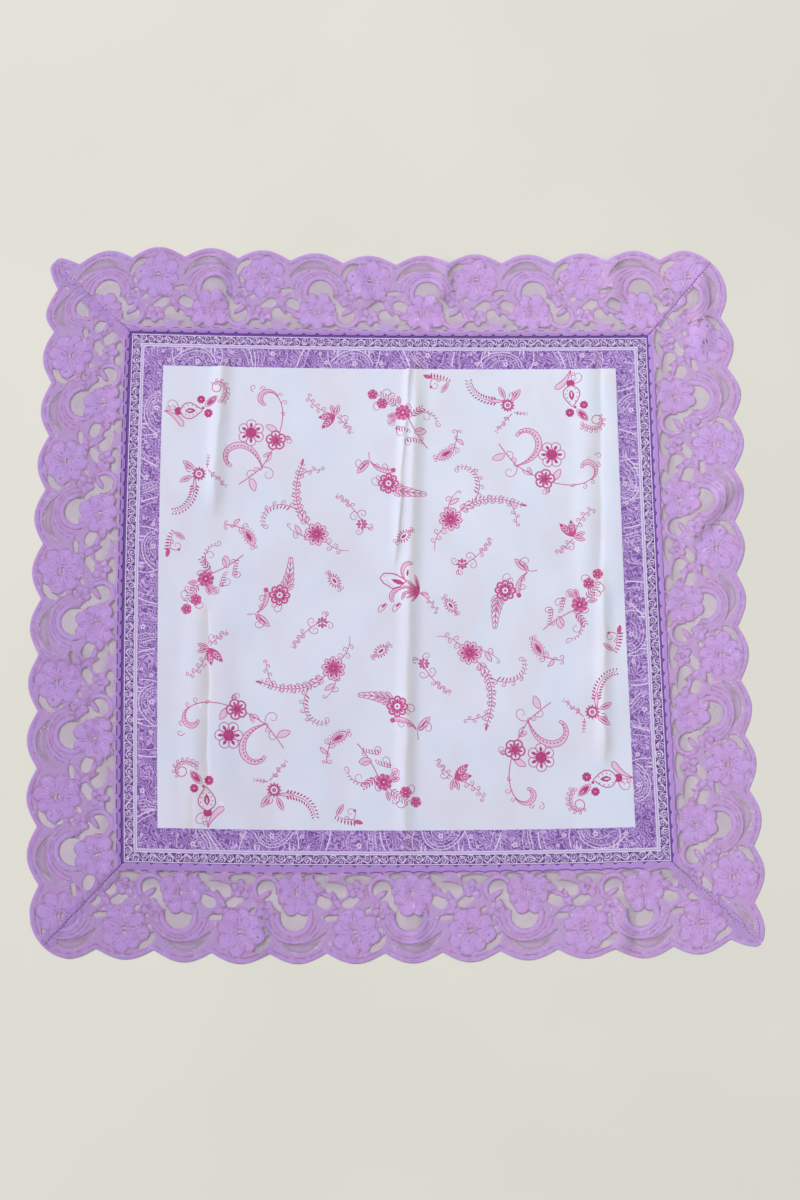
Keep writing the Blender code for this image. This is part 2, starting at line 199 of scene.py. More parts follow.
CORNERS = {
    (-1, -1): Corner((-262.0, -251.0), (-344.5, -338.5)),
    (1, -1): Corner((257.5, -250.0), (341.5, -327.0)),
    (1, 1): Corner((249.0, 267.5), (327.0, 359.0)),
    (-1, 1): Corner((-270.5, 272.0), (-355.0, 351.0)),
}

# How far each edge of the cotton bows outwards at its middle
BOW_FRONT = 3.8
BOW_RIGHT = -1.0
BOW_BACK = -2.6
BOW_LEFT = 3.3


@dataclass(frozen=True)
class Line:
    """A straight line from one point of the pattern to another."""

    x0: float
    y0: float
    x1: float
    y1: float

    def length(self) -> float:
        """How long the line is."""
        return hypot(self.x1 - self.x0, self.y1 - self.y0)

    def beside(self, x: Points, y: Points) -> tuple[Points, Points]:
        """How far points are along the line, 0 to 1, and to the right of it."""
        run_x, run_y = self.x1 - self.x0, self.y1 - self.y0
        part = ((x - self.x0) * run_x + (y - self.y0) * run_y) / self.length() ** 2
        return part, ((y - self.y0) * run_x - (x - self.x0) * run_y) / self.length()


@dataclass(frozen=True)
class Crease(Line):
    """A soft ridge along a line."""

    height: float
    half_width: float

    def lift(self, x: Points, y: Points) -> Points:
        """How high the crease lifts points of the pattern."""
        part, right = self.beside(x, y)
        return self.height * fade(part, CREASE_END_FADE) * hump(right / self.half_width)


CREASES = (
    Crease(-165.5, 262.0, -173.7, 70.0, 2.6, 12.0),
    Crease(-187.0, 0.0, -189.0, -250.0, 1.7, 20.0),
    Crease(-167.0, 0.0, -168.5, -215.0, 1.5, 22.0),
    Crease(23.5, 262.0, 4.5, 20.0, 2.0, 7.0),
    Crease(29.0, 262.0, 6.5, -262.0, 2.9, 12.0),
    Crease(202.0, 262.0, 192.5, -20.0, 1.7, 20.0),
    Crease(223.0, 262.0, 213.5, -20.0, 1.6, 20.0),
    Crease(207.5, 30.0, 199.5, -175.0, 2.4, 10.0),
    Crease(-180.0, -170.0, -118.0, -244.0, 1.8, 16.0),
    Crease(-170.0, 262.0, -173.0, 350.0, 2.4, 15.0),
    Crease(-38.0, 345.0, -14.0, 280.0, 2.2, 12.0),
    Crease(66.0, 350.0, 42.0, 262.0, 2.4, 15.0),
    Crease(230.0, 262.0, 233.0, 350.0, 2.8, 15.0),
    Crease(322.0, 330.0, 318.0, 235.0, 3.0, 15.0),
    Crease(346.0, 112.0, 282.0, 40.0, 3.0, 16.0),
    Crease(214.0, -262.0, 213.0, -348.0, 2.8, 14.0),
    Crease(18.0, -262.0, 19.0, -345.0, 2.0, 13.0),
    Crease(-286.0, -70.0, -344.0, -52.0, 2.0, 15.0),
    Crease(-140.0, -276.0, -128.0, -345.0, 1.8, 15.0),
)


@dataclass(frozen=True)
class FoldLine(Line):
    """A sharper line on a crease, one side of it slow and one quick, and painted shade on its shaded side.

    A line with a height rises from its left and falls to its right. One with a depth, a height
    below nothing, sinks from its left and comes up again to its right.
    """

    height: float
    rise_width: float
    fall_width: float
    # The painted shade on its shaded side: its strength and reach, and below, how it wanders, blurs and falls
    # off
    tint: float
    painted_shade_width: float
    wavers: tuple[tuple[float, float], ...] = ((0.9, 17.0), (0.5, 7.3))
    height_wander: float = 0.25
    height_turns: float = 19.0
    painted_shade_wander: float = 0.2
    painted_shade_turns: float = 23.0
    painted_shade_blur: float = 2.0
    painted_shade_power: float = 1.5
    guide_pitch: float = 3.4
    guide_room: float = 0.02
    guides_left: tuple[float, ...] = (-2.2, -0.8, 0.0)
    guides_right: tuple[float, ...] = (0.35, 0.7, 1.0)

    def sides(self, x: Points, y: Points) -> tuple[Points, Points]:
        """How far points are along the wavering line, 0 to 1, and to the right of it."""
        part, right = self.beside(x, y)
        for size, over in self.wavers:
            right = right + size * np.sin(part * self.length() / over)
        return part, right

    def lift(self, x: Points, y: Points) -> Points:
        """How high the line lifts points of the pattern."""
        part, right = self.sides(x, y)
        uneven = wander(part * self.height_turns + self.x0, self.height_wander)
        side = np.where(right < 0.0, smooth_step(1.0 + right / self.rise_width),
                        smooth_step(1.0 - right / self.fall_width))
        return self.height * fade(part, CREASE_END_FADE) * uneven * side

    def shade(self, x: Points, y: Points) -> Points:
        """How strongly the painted shade on the line's shaded side shows at points of the pattern."""
        part, right = self.sides(x, y)
        away = right if self.height > 0.0 else -right
        falloff = np.clip(1.0 - away / self.painted_shade_width, 0.0, 1.0) ** self.painted_shade_power
        near = smooth_step(away / self.painted_shade_blur + 0.5) * falloff
        uneven = wander(part * self.painted_shade_turns + self.x0, self.painted_shade_wander)
        return self.tint * fade(part, PAINTED_SHADE_END_FADE) * uneven * near

    def guides(self) -> list[tuple[float, float]]:
        """Points on and beside the line, where the cloth needs to bend sharply."""
        part = np.linspace(self.guide_room, 1.0 - self.guide_room, int(self.length() / self.guide_pitch))
        x, y = self.x0 + (self.x1 - self.x0) * part, self.y0 + (self.y1 - self.y0) * part
        _, right = self.sides(x, y)
        offsets = (*self.guides_left, *(self.fall_width * share for share in self.guides_right))
        return [(float(px - waver + offset), float(py)) for offset in offsets
                for px, py, waver in zip(x, y, right) if max(abs(px), abs(py)) < SEAM_FLAT_FROM]


FOLD_LINES = (
    FoldLine(29.0, 262.0, 6.5, -262.0, 0.3, 10.0, 4.4, 0.95, 15.0),
    FoldLine(23.5, 266.0, 4.5, 20.0, 0.75, 6.0, 2.2, 1.0, 5.0),
    FoldLine(-165.5, 262.0, -173.7, 70.0, 0.4, 9.0, 4.4, 0.7, 15.0),
    FoldLine(207.5, 30.0, 199.5, -175.0, 0.5, 9.0, 3.4, 0.8, 11.0),
    FoldLine(-176.5, -10.0, -179.0, -205.0, -0.9, 11.0, 2.6, 0.85, 17.0),
    FoldLine(212.5, 262.0, 203.0, -10.0, -0.8, 12.0, 5.0, 0.55, 18.0),
    FoldLine(-191.0, -185.0, -195.0, -266.0, -0.3, 6.0, 2.6, 0.75, 6.0),
)


@dataclass(frozen=True)
class Swell:
    """A round place where the cotton stands a little off the table."""

    x: float
    y: float
    height: float
    radius: float

    def lift(self, x: Points, y: Points) -> Points:
        """How high the swell lifts points of the pattern."""
        return self.height * hump(np.hypot(x - self.x, y - self.y) / self.radius)


SWELLS = (
    Swell(-95.0, 130.0, 1.6, 70.0),
    Swell(112.0, 70.0, 1.8, 75.0),
    Swell(108.0, -130.0, 1.5, 70.0),
    Swell(-80.0, -95.0, 1.6, 75.0),
)


def smooth_step(amount: Points) -> Points:
    """Ease from 0 to 1 as the amount goes from 0 to 1."""
    held = np.clip(amount, 0.0, 1.0)
    return held * held * (3.0 - 2.0 * held)


def ease(amount: Points, start: float, width: float) -> Points:
    """Ease from 0 to 1 from a start on, over a width."""
    return smooth_step((amount - start) / width)


def fade(part: Points, share: float) -> Points:
    """Ease in over a share of a line at its start, and out again at its end."""
    return smooth_step(part / share) * smooth_step((1.0 - part) / share)


def wander(turn: Points, share: float) -> Points:
    """Go up and down between 1 and twice a share below it."""
    return 1.0 - share + share * np.sin(turn)


def hump(amount: Points) -> Points:
    """A smooth hump: 1 in the middle, and exactly 0 from one outwards."""
    return np.where(np.abs(amount) < 1.0, (1.0 - amount * amount) ** 2, 0.0)


def corner_drop(radius: float, distance: Points) -> Points:
    """How far a rounded corner falls short of the peak line, at a distance from the corner."""
    short = radius - np.clip(distance, 0.0, radius)
    return radius - np.sqrt(radius ** 2 - short ** 2)


def smooth_between(values: Sequence[float], amount: Points) -> Points:
    """Read a smooth curve through equally spaced values, at 0 to 1 of its length."""
    table = np.array(values)
    last = len(values) - 1
    place = np.clip(amount, 0.0, 1.0) * last
    index = np.minimum(place.astype(int), last - 1)
    part = place - index
    first, second = table[index], table[index + 1]
    slope_first = (second - table[np.maximum(index - 1, 0)]) / 2.0
    slope_second = (table[np.minimum(index + 2, last)] - first) / 2.0
    square, cube = part ** 2, part ** 3
    return (
        (2 * cube - 3 * square + 1) * first
        + (cube - 2 * square + part) * slope_first
        + (3 * square - 2 * cube) * second
        + (cube - square) * slope_second
    )


@dataclass
class Table:
    """Lays points of the flat pattern down where they lie on the table."""

    ripple_height: float = 0.28
    ripple_pitch: float = 46.0
    small_pitch_share: float = 0.42
    small_height_share: float = 0.34
    ripple_spare: int = 4
    ripple_seed: int = 7
    outline_steps: int = 2000
    under_ways: int = 8
    centre: Pair = (0.0, 0.0)
    ripples: list[tuple[float, np.ndarray]] = field(default_factory=list)

    def __post_init__(self) -> None:
        """Draw the soft ripples and find the middle of the laid scarf."""
        random = np.random.default_rng(self.ripple_seed)
        small_pitch = self.ripple_pitch * self.small_pitch_share
        for pitch, share in ((self.ripple_pitch, 1.0), (small_pitch, self.small_height_share)):
            count = int(2 * LACE_HALF / pitch) + self.ripple_spare
            self.ripples.append((pitch, random.uniform(-1.0, 1.0, (count, count)) * share))
        self.centre = self.laid_centre()

    def laid_centre(self) -> tuple[float, float]:
        """The middle of the box that holds the laid scarf."""
        xs, ys = [], []
        for plan in STRIPS:
            s = np.linspace(-LACE_HALF, LACE_HALF, self.outline_steps)
            v = plan.edge_v(s)
            inside = plan.mitre_room(s, v) > 0.0
            x, y = self.flat_place(*plan.pattern(s[inside], v[inside]))
            xs += [x.min(), x.max()]
            ys += [y.min(), y.max()]
        return (min(xs) + max(xs)) / 2.0, (min(ys) + max(ys)) / 2.0

    def cotton_place(self, x: Points, y: Points) -> tuple[Points, Points]:
        """Lay points of the shown cotton: its corners pulled out of true, its edges bowed."""
        across = (x / SHOWN_HALF + 1.0) / 2.0
        up = (y / SHOWN_HALF + 1.0) / 2.0
        place = []
        for axis in (0, 1):
            front = CORNERS[(-1, -1)].cotton[axis] * (1 - across) + CORNERS[(1, -1)].cotton[axis] * across
            back = CORNERS[(-1, 1)].cotton[axis] * (1 - across) + CORNERS[(1, 1)].cotton[axis] * across
            place.append(front * (1 - up) + back * up)
        arch_x = 1.0 - (x / SHOWN_HALF) ** 2
        arch_y = 1.0 - (y / SHOWN_HALF) ** 2
        bow_y = arch_x * (BOW_BACK * up - BOW_FRONT * (1.0 - up))
        bow_x = arch_y * (BOW_RIGHT * across - BOW_LEFT * (1.0 - across))
        return place[0] + bow_x, place[1] + bow_y

    def flat_place(self, x: Points, y: Points) -> tuple[Points, Points]:
        """Lay points of the whole pattern, cotton and lace."""
        reach = np.maximum(np.abs(x), np.abs(y))
        inwards = np.minimum(1.0, SHOWN_HALF / np.maximum(reach, 1.0))
        laid_x, laid_y = self.cotton_place(x * inwards, y * inwards)
        out_part = np.maximum(reach - SHOWN_HALF, 0.0) / LACE_WIDTH
        sides = np.stack([plan.outwards[0] * x + plan.outwards[1] * y for plan in STRIPS])
        nearest = np.argmax(sides, axis=0)
        for index, plan in enumerate(STRIPS):
            here = (nearest == index) & (out_part > 0.0)
            if not here.any():
                continue
            part = (plan.along[0] * x[here] + plan.along[1] * y[here]) / reach[here] / 2.0 + 0.5
            along, out = plan.along, plan.outwards
            start = CORNERS[(out[0] - along[0], out[1] - along[1])].lace
            end = CORNERS[(out[0] + along[0], out[1] + along[1])].lace
            bow = smooth_between(plan.lace_bow, part)
            outer_x = start[0] * (1 - part) + end[0] * part + out[0] * bow
            outer_y = start[1] * (1 - part) + end[1] * part + out[1] * bow
            laid_x[here] += (outer_x - laid_x[here]) * out_part[here]
            laid_y[here] += (outer_y - laid_y[here]) * out_part[here]
        return laid_x, laid_y

    def ripple(self, x: Points, y: Points) -> Points:
        """Soft unevenness of cloth that was folded and laid out again."""
        total = np.zeros_like(x)
        for pitch, heights in self.ripples:
            last = heights.shape[0] - 2
            across = np.clip(x / pitch + heights.shape[1] / 2.0, 0.0, last)
            up = np.clip(y / pitch + heights.shape[0] / 2.0, 0.0, last)
            i, j = across.astype(int), up.astype(int)
            a, b = smooth_step(across - i), smooth_step(up - j)
            low = heights[j, i] * (1 - a) + heights[j, i + 1] * a
            high = heights[j + 1, i] * (1 - a) + heights[j + 1, i + 1] * a
            total += low * (1 - b) + high * b
        return total * self.ripple_height

    def rise(self, x: Points, y: Points) -> Points:
        """How high the creases and swells lift points of the pattern."""
        reach = np.maximum(np.abs(x), np.abs(y))
        inside = smooth_step((SEAM_FLAT_FROM - reach) / SEAM_FADE)
        outside = ease(reach, SEAM_FLAT_TO, SEAM_FADE)
        folds = np.max([crease.lift(x, y) for crease in CREASES], axis=0)
        lines = np.array([line.lift(x, y) for line in FOLD_LINES])
        folds += lines.max(axis=0) + lines.min(axis=0)
        swells = np.sum([swell.lift(x, y) for swell in SWELLS], axis=0)
        uneven = np.maximum(self.ripple(x, y) + self.ripple_height * 0.5, 0.0)
        return np.maximum(inside, outside) * (np.maximum(folds, swells) + uneven)

    def least_rise(self, x: Points, y: Points, reach: float) -> Points:
        """The lowest lift within a reach, for a coarse sheet that stays under a fine one."""
        turns = [2.0 * pi * index / self.under_ways for index in range(self.under_ways)]
        near = [self.rise(x + reach * cos(turn), y + reach * sin(turn)) for turn in turns]
        return np.min([self.rise(x, y)] + near, axis=0)

    def lace_level(self, x: Points, y: Points) -> Points:
        """The level that the lace steps down from, on the cotton's hem, to the table."""
        v = np.maximum(np.abs(x), np.abs(y)) - SHOWN_HALF
        return HEADING_LEVEL * (1.0 - ease(v, STEP_START, STEP_END - STEP_START))

    def lay(self, x: Points, y: Points, level: Points) -> Points:
        """Lay points of the pattern at a level, with the creases.

        Args:
            x: across the pattern, in millimetres.
            y: up the pattern, in millimetres.
            level: height over the table before the creases lift it, in millimetres.

        Returns:
            The places, in metres, one row for each point.
        """
        laid_x, laid_y = self.flat_place(x, y)
        places = (laid_x - self.centre[0], laid_y - self.centre[1], level + self.rise(x, y))
        return np.stack(places, axis=1) * METRES


# Meshes and materials

class Slot(Enum):
    """The record's material slots."""

    COTTON = "printed_cotton"
    LACE = "lilac_lace"


def build_mesh(name: str, points: Points, faces: Iterable[np.ndarray]) -> bpy.types.Mesh:
    """Make a mesh from points and groups of faces.

    Args:
        name: the mesh's name.
        points: one row of x, y and z for each vertex.
        faces: arrays with one row of vertex numbers for each face.

    Returns:
        The mesh, smooth shaded.
    """
    groups = [np.asarray(group, dtype=np.int32) for group in faces if len(group)]
    corners = np.concatenate([group.ravel() for group in groups])
    sizes = np.concatenate([np.full(len(group), group.shape[1], dtype=np.int32) for group in groups])
    mesh = bpy.data.meshes.new(name)
    mesh.vertices.add(len(points))
    mesh.vertices.foreach_set("co", np.asarray(points, dtype=np.float32).ravel())
    mesh.loops.add(len(corners))
    mesh.loops.foreach_set("vertex_index", corners)
    mesh.polygons.add(len(sizes))
    mesh.polygons.foreach_set("loop_start", np.concatenate([[0], np.cumsum(sizes)[:-1]]).astype(np.int32))
    mesh.update(calc_edges=True)
    mesh.shade_smooth()
    return mesh


def corner_vertices(mesh: bpy.types.Mesh) -> np.ndarray:
    """The vertex number at each corner of each face."""
    numbers = np.zeros(len(mesh.loops), dtype=np.int32)
    mesh.loops.foreach_get("vertex_index", numbers)
    return numbers


def add_uv(mesh: bpy.types.Mesh, name: str, flat: Points) -> None:
    """Give the mesh a UV map from one place for each vertex."""
    layer = mesh.uv_layers.new(name=name)
    layer.uv.foreach_set("vector", flat[corner_vertices(mesh)].astype(np.float32).ravel())


def add_colour(mesh: bpy.types.Mesh, name: str, values: Points) -> None:
    """Give the mesh a colour attribute from four numbers for each vertex."""
    layer = mesh.attributes.new(name, "FLOAT_COLOR", "POINT")
    layer.data.foreach_set("color", values.astype(np.float32).ravel())


def linked(name: str, data: bpy.types.ID) -> bpy.types.Object:
    """Put a mesh, a camera or a light in the scene."""
    made = bpy.data.objects.new(name, data)
    bpy.context.scene.collection.objects.link(made)
    return made


def add_piece(name: str, mesh: bpy.types.Mesh, materials: Sequence[bpy.types.Material]) -> bpy.types.Object:
    """Put a mesh in the scene as a piece at the origin, with its materials."""
    mesh.materials.clear()
    for material in materials:
        mesh.materials.append(material)
    return linked(name, mesh)


def linear(red: float, green: float, blue: float) -> tuple[float, float, float, float]:
    """Turn a screen colour of 0 to 255 into Blender's linear colour."""
    shares = [channel / 255.0 for channel in (red, green, blue)]
    values = [share / 12.92 if share <= 0.04045 else ((share + 0.055) / 1.055) ** 2.4 for share in shares]
    return values[0], values[1], values[2], 1.0


Socket = bpy.types.NodeSocket
Colour = tuple[float, float, float]

# How the cloths take the light
SHEEN = 0.15
SHEEN_ROUGHNESS = 0.5
SPECULAR = 0.3

# Painted light across the scarf: the distance from the middle at which its tone is full, in millimetres, and
# the painted shade in front
PAINTED_LIGHT_REACH = 330.0
PAINTED_SHADE_FRONT = (0.92, 0.91, 0.93)


@dataclass(frozen=True)
class Patches:
    """A cloudy mask: its pitch in millimetres, and the noise at which it sets in and is full."""

    pitch: float
    low: float
    high: float
    detail: float = 2.0


class Nodes:
    """Lays the nodes of a tree in plain steps."""

    def __init__(self, tree: bpy.types.NodeTree) -> None:
        """Take the tree that the nodes go into."""
        self.tree = tree

    def feed(self, socket: Socket, value: Socket | float | tuple) -> None:
        """Set a socket to a value, or link another socket to it."""
        if isinstance(value, bpy.types.NodeSocket):
            self.tree.links.new(value, socket)
        else:
            socket.default_value = value

    def node(self, kind: str, settings: dict | None = None,
             **inputs: Socket | float | tuple) -> bpy.types.Node:
        """Add a node with its settings, and its inputs by name with _ for a space."""
        made = self.tree.nodes.new(kind)
        for key, value in (settings or {}).items():
            setattr(made, key, value)
        for key, value in inputs.items():
            self.feed(made.inputs[key.replace("_", " ")], value)
        return made

    def sum(self, operation: str, first: Socket | float, second: Socket | float = 0.0,
            third: Socket | float | None = None) -> Socket:
        """One step of arithmetic."""
        made = self.node("ShaderNodeMath", {"operation": operation})
        self.feed(made.inputs[0], first)
        self.feed(made.inputs[1], second)
        if third is not None:
            self.feed(made.inputs[2], third)
        return made.outputs[0]


class Wiring(Nodes):
    """The nodes of one material."""

    def __init__(self, name: str) -> None:
        """Start the material with its Principled shader."""
        self.material = bpy.data.materials.new(name)
        self.material.use_nodes = True
        super().__init__(self.material.node_tree)
        self.shader = self.tree.nodes["Principled BSDF"]

    def blend(self, share: Socket | float, first: Socket | tuple, second: Socket | tuple,
              way: str = "MIX") -> Socket:
        """Mix two colours."""
        made = self.node("ShaderNodeMix", {"data_type": "RGBA", "blend_type": way})
        self.feed(made.inputs[0], share)
        self.feed(made.inputs[6], first)
        self.feed(made.inputs[7], second)
        return made.outputs[2]

    def mixed(self, share: Socket, first: Colour, second: Colour) -> Socket:
        """Mix two screen colours."""
        return self.blend(share, linear(*first), linear(*second))

    def layer(self, colour: Socket, mask: Socket, share: Socket | float, tint: Colour) -> Socket:
        """Lay a screen colour over a colour, at a share of a mask."""
        return self.blend(self.sum("MULTIPLY", mask, share), colour, linear(*tint))

    def ramp(self, value: Socket, low: float, high: float) -> Socket:
        """Ease a value from 0 at low to 1 at high."""
        made = self.node("ShaderNodeMapRange", {"interpolation_type": "SMOOTHSTEP"},
                         Value=value, From_Min=low, From_Max=high)
        return made.outputs["Result"]

    def step(self, value: Socket, edge: float, blur: float) -> Socket:
        """Ease a value from 0 to 1 within a blur on either side of an edge."""
        return self.ramp(value, edge - blur, edge + blur)

    def flat_places(self) -> tuple[Socket, Socket, Socket]:
        """The place on the flat pattern, in millimetres: both together, across, and up."""
        place = self.node("ShaderNodeUVMap", {"uv_map": "pattern"}).outputs["UV"]
        split = self.node("ShaderNodeSeparateXYZ", Vector=place)
        return place, split.outputs["X"], split.outputs["Y"]

    def noise(self, place: Socket, pitch: float, detail: float = 2.0) -> Socket:
        """Cloudy noise with a pitch in millimetres."""
        made = self.node("ShaderNodeTexNoise", Vector=place, Scale=1.0 / pitch, Detail=detail)
        return made.outputs["Fac"]

    def patches(self, place: Socket, mask: Patches) -> Socket:
        """Read a cloudy mask, 0 to 1."""
        return self.ramp(self.noise(place, mask.pitch, mask.detail), mask.low, mask.high)

    def stretched(self, place: Socket, across: float, up: float) -> Socket:
        """Scale the two directions of a place."""
        made = self.node("ShaderNodeMapping", {"vector_type": "POINT"}, Vector=place, Scale=(across, up, 1.0))
        return made.outputs[0]

    def with_painted_light(self, colour: Socket, left: Colour, right: Colour) -> Socket:
        """Multiply a colour by painted light: one tone at the left, another at the right, and a darker
        painted shade in front.
        """
        place = self.node("ShaderNodeTexCoord").outputs["Object"]
        split = self.node("ShaderNodeSeparateXYZ", Vector=place)
        reach = PAINTED_LIGHT_REACH * METRES
        tint = self.blend(self.ramp(split.outputs["X"], -reach, reach), (*left, 1.0), (*right, 1.0))
        near = self.ramp(split.outputs["Y"], reach, -reach)
        front = self.blend(near, (1.0, 1.0, 1.0, 1.0), (*PAINTED_SHADE_FRONT, 1.0))
        return self.blend(1.0, self.blend(1.0, colour, tint, "MULTIPLY"), front, "MULTIPLY")

    def dress(self, colour: Socket | tuple, roughness: float, height: Socket | None = None,
              depth: float = 0.0) -> None:
        """Give the shader its colour, roughness and relief, the depth in millimetres."""
        self.feed(self.shader.inputs["Base Color"], colour)
        self.shader.inputs["Roughness"].default_value = roughness
        self.shader.inputs["Sheen Weight"].default_value = SHEEN
        self.shader.inputs["Sheen Roughness"].default_value = SHEEN_ROUGHNESS
        self.shader.inputs["Specular IOR Level"].default_value = SPECULAR
        if height is not None:
            bump = self.node("ShaderNodeBump", Height=height, Distance=depth * METRES, Strength=1.0)
            self.feed(self.shader.inputs["Normal"], bump.outputs["Normal"])


class Growth(Nodes):
    """The nodes of a Geometry Nodes tree that repeats a shape, with named sizes and a finish."""

    def __init__(self, name: str, sizes: Sequence[str]) -> None:
        """Start the tree with the sockets that it reads."""
        super().__init__(bpy.data.node_groups.new(name, "GeometryNodeTree"))
        sockets = (("Geometry", "Geometry"), *((size, "Float") for size in sizes), ("Finish", "Material"))
        for socket, kind in sockets:
            self.tree.interface.new_socket(socket, in_out="INPUT", socket_type=f"NodeSocket{kind}")
        self.tree.interface.new_socket("Geometry", in_out="OUTPUT", socket_type="NodeSocketGeometry")
        self.given = self.node("NodeGroupInput").outputs

    def finish(self, last: Socket) -> bpy.types.NodeTree:
        """End the tree: realize the instances and set their finish."""
        real = self.node("GeometryNodeRealizeInstances", Geometry=last)
        dressed = self.node("GeometryNodeSetMaterial", Geometry=real.outputs[0],
                            Material=self.given["Finish"])
        self.node("NodeGroupOutput", Geometry=dressed.outputs[0])
        return self.tree


# Print on the cotton

WHITE_HALF = 226.5
LINES_INNER = 246.0
LINES_OUTER = 249.4
SCROLL_OUTER = 257.9
THIN_LINE = 0.9
BAND_MIDDLE = (WHITE_HALF + LINES_INNER) / 2.0
BAND_HALF = (LINES_INNER - WHITE_HALF) / 2.0

# Distance from the middle and width of the border's straight lines
STRAIGHT_LINES = ((LINES_INNER + 0.6, 1.1), (LINES_OUTER - 0.5, 1.1), (SCROLL_OUTER + 0.3, THIN_LINE))
STRAIGHT_STEPS = 40


class Ink(Enum):
    """The inks of the print, in the order of the cotton's material slots."""

    CLOTH = 0
    PINK = 1
    ROSE = 2
    BLUSH = 3
    PALE = 4
    PLUM = 5


# Twice the area, in square millimetres, below which a face is left off
LEAST_AREA = 2e-3


@dataclass
class Drawing:
    """Shapes drawn on the flat pattern, later ones over earlier ones."""

    points: Path = field(default_factory=list)
    faces: list[tuple[int, ...]] = field(default_factory=list)
    inks: list[Ink] = field(default_factory=list)

    def area(self, corners: tuple[int, ...]) -> float:
        """Twice a face's area, negative where it runs with the clock."""
        total = 0.0
        for index, corner in enumerate(corners):
            x0, y0 = self.points[corners[index - 1]]
            x1, y1 = self.points[corner]
            total += x0 * y1 - x1 * y0
        return total

    def face(self, corners: tuple[int, ...], ink: Ink) -> None:
        """Add a face, turned to run against the clock."""
        area = self.area(corners)
        if abs(area) < LEAST_AREA:
            return
        self.faces.append(corners if area > 0.0 else corners[::-1])
        self.inks.append(ink)

    def shape(self, outline: Path, ink: Ink) -> None:
        """Fill one outline that doesn't cross itself."""
        start = len(self.points)
        self.points += outline
        self.face(tuple(range(start, start + len(outline))), ink)

    def strip(self, left: Path, right: Path, ink: Ink, closed: bool = False) -> None:
        """Fill between two paths, however sharply they bend."""
        start = len(self.points)
        count = len(left)
        for first, second in zip(left, right):
            self.points += [first, second]
        for index in range(count if closed else count - 1):
            a = start + 2 * index
            b = start + 2 * ((index + 1) % count)
            halves = ((a, a + 1, b + 1), (a, b + 1, b))
            if self.area(halves[0]) * self.area(halves[1]) > 0.0:
                self.face((a, a + 1, b + 1, b), ink)
                continue
            for half in halves:
                self.face(half, ink)

    def line(self, path: Path, width: float, ink: Ink, closed: bool, tip: float) -> None:
        """Draw a line along a path, narrowed towards its end by tip."""
        left, right = [], []
        for index, (x, y) in enumerate(path):
            before = path[index - 1] if index or closed else path[0]
            after = path[(index + 1) % len(path)] if index + 1 < len(path) or closed else path[-1]
            turn = atan2(after[1] - before[1], after[0] - before[0])
            half = width / 2.0 * (1.0 + (tip - 1.0) * index / (len(path) - 1))
            left.append((x - sin(turn) * half, y + cos(turn) * half))
            right.append((x + sin(turn) * half, y - cos(turn) * half))
        self.strip(left, right, ink, closed)


def swirl(x: float, y: float, heading: float, length: float, first_bend: float, last_bend: float,
          steps: int) -> Path:
    """A line whose bend grows evenly, as a drawn stem or curl does.

    Args:
        x: where it starts, across.
        y: where it starts, up.
        heading: its first direction, in degrees.
        length: its whole length.
        first_bend: degrees that it would turn if it all bent as its start does.
        last_bend: the same for its end.
        steps: how many short straight runs it has.

    Returns:
        Its points.
    """
    points = [(x, y)]
    turn = heading
    for index in range(steps):
        part = (index + 0.5) / steps
        turn += (first_bend + (last_bend - first_bend) * part) / steps
        x += cos(radians(turn)) * length / steps
        y += sin(radians(turn)) * length / steps
        points.append((x, y))
    return points


def heading_at(path: Path, index: int) -> float:
    """The direction of a path at one of its points, in degrees."""
    before = path[max(index - 1, 0)]
    after = path[min(index + 1, len(path) - 1)]
    return degrees(atan2(after[1] - before[1], after[0] - before[0]))


def ring(x: float, y: float, across: float, up: float, count: int) -> Path:
    """Evenly spaced points of an oval."""
    turns = [2.0 * pi * index / count for index in range(count)]
    return [(x + across * cos(turn), y + up * sin(turn)) for turn in turns]


@dataclass(frozen=True)
class PetalShape:
    """A round petal: middle and half length as shares of the flower's radius, and half width."""

    middle: float
    length: float
    width: float


OPEN_PETAL = PetalShape(0.69, 0.32, 0.74)
FULL_PETAL = PetalShape(0.64, 0.36, 0.9)
PETAL_POINTS = 9

# Widths of the lines of a curl, a leaf, a horn and a full petal, as shares of the pen's own
CURL_LINE = 0.9
LEAF_LINE = 0.8
HORN_LINE = 0.85
FULL_PETAL_LINE = 0.45

# Radius of a heart and of the eye in it, as shares of the flower's
FULL_HEART = (0.46, 0.13)
DAISY_HEART = (0.27, 0.09)
ROSETTE_EYE = 0.15

# The outline of a leaflet: shares of its length, and of its width to the left
LEAFLET = ((0.0, 0.12), (0.35, 0.5), (0.7, 0.38), (1.0, 0.0), (0.7, -0.38), (0.35, -0.5), (0.0, -0.12))

# Start, length and width of the mark in a petal, and of a leaf's vein, as shares of the whole
PETAL_MARK = (0.4, 0.42, 0.24)
LEAF_VEIN = (0.15, 0.66, 0.09)
LEAF_STEPS = 6

# The two rings of a daisy: ink, reach, length of its petals as a share, and shift
DAISY_RINGS = ((Ink.PINK, 1.0, 0.46, 0.0), (Ink.ROSE, 0.62, 0.34, 0.5))
DAISY_OVERLAP = 1.05
DAISY_PETAL_WIDTH = 0.26

# How a tendril bends at its start and end, and how many runs it has for its size
CURL_BENDS = (60.0, 600.0)
CURL_STEPS = 8
CURL_STEP_SIZE = 6.0

# How much shorter the last leaflet and the last curl of a stem are than the first
LEAFLET_TAPER = 0.35
TENDRIL_TAPER = 0.25

ROSETTE_POINTS = 16
ROSETTE_NOTCH = 0.82

# A horn's least width, how much narrower its end is, and its dots' heading, length and width
HORN_TIP = 0.08
HORN_END_DROP = 0.6
HORN_DOT = (150.0, 0.46, 0.24)


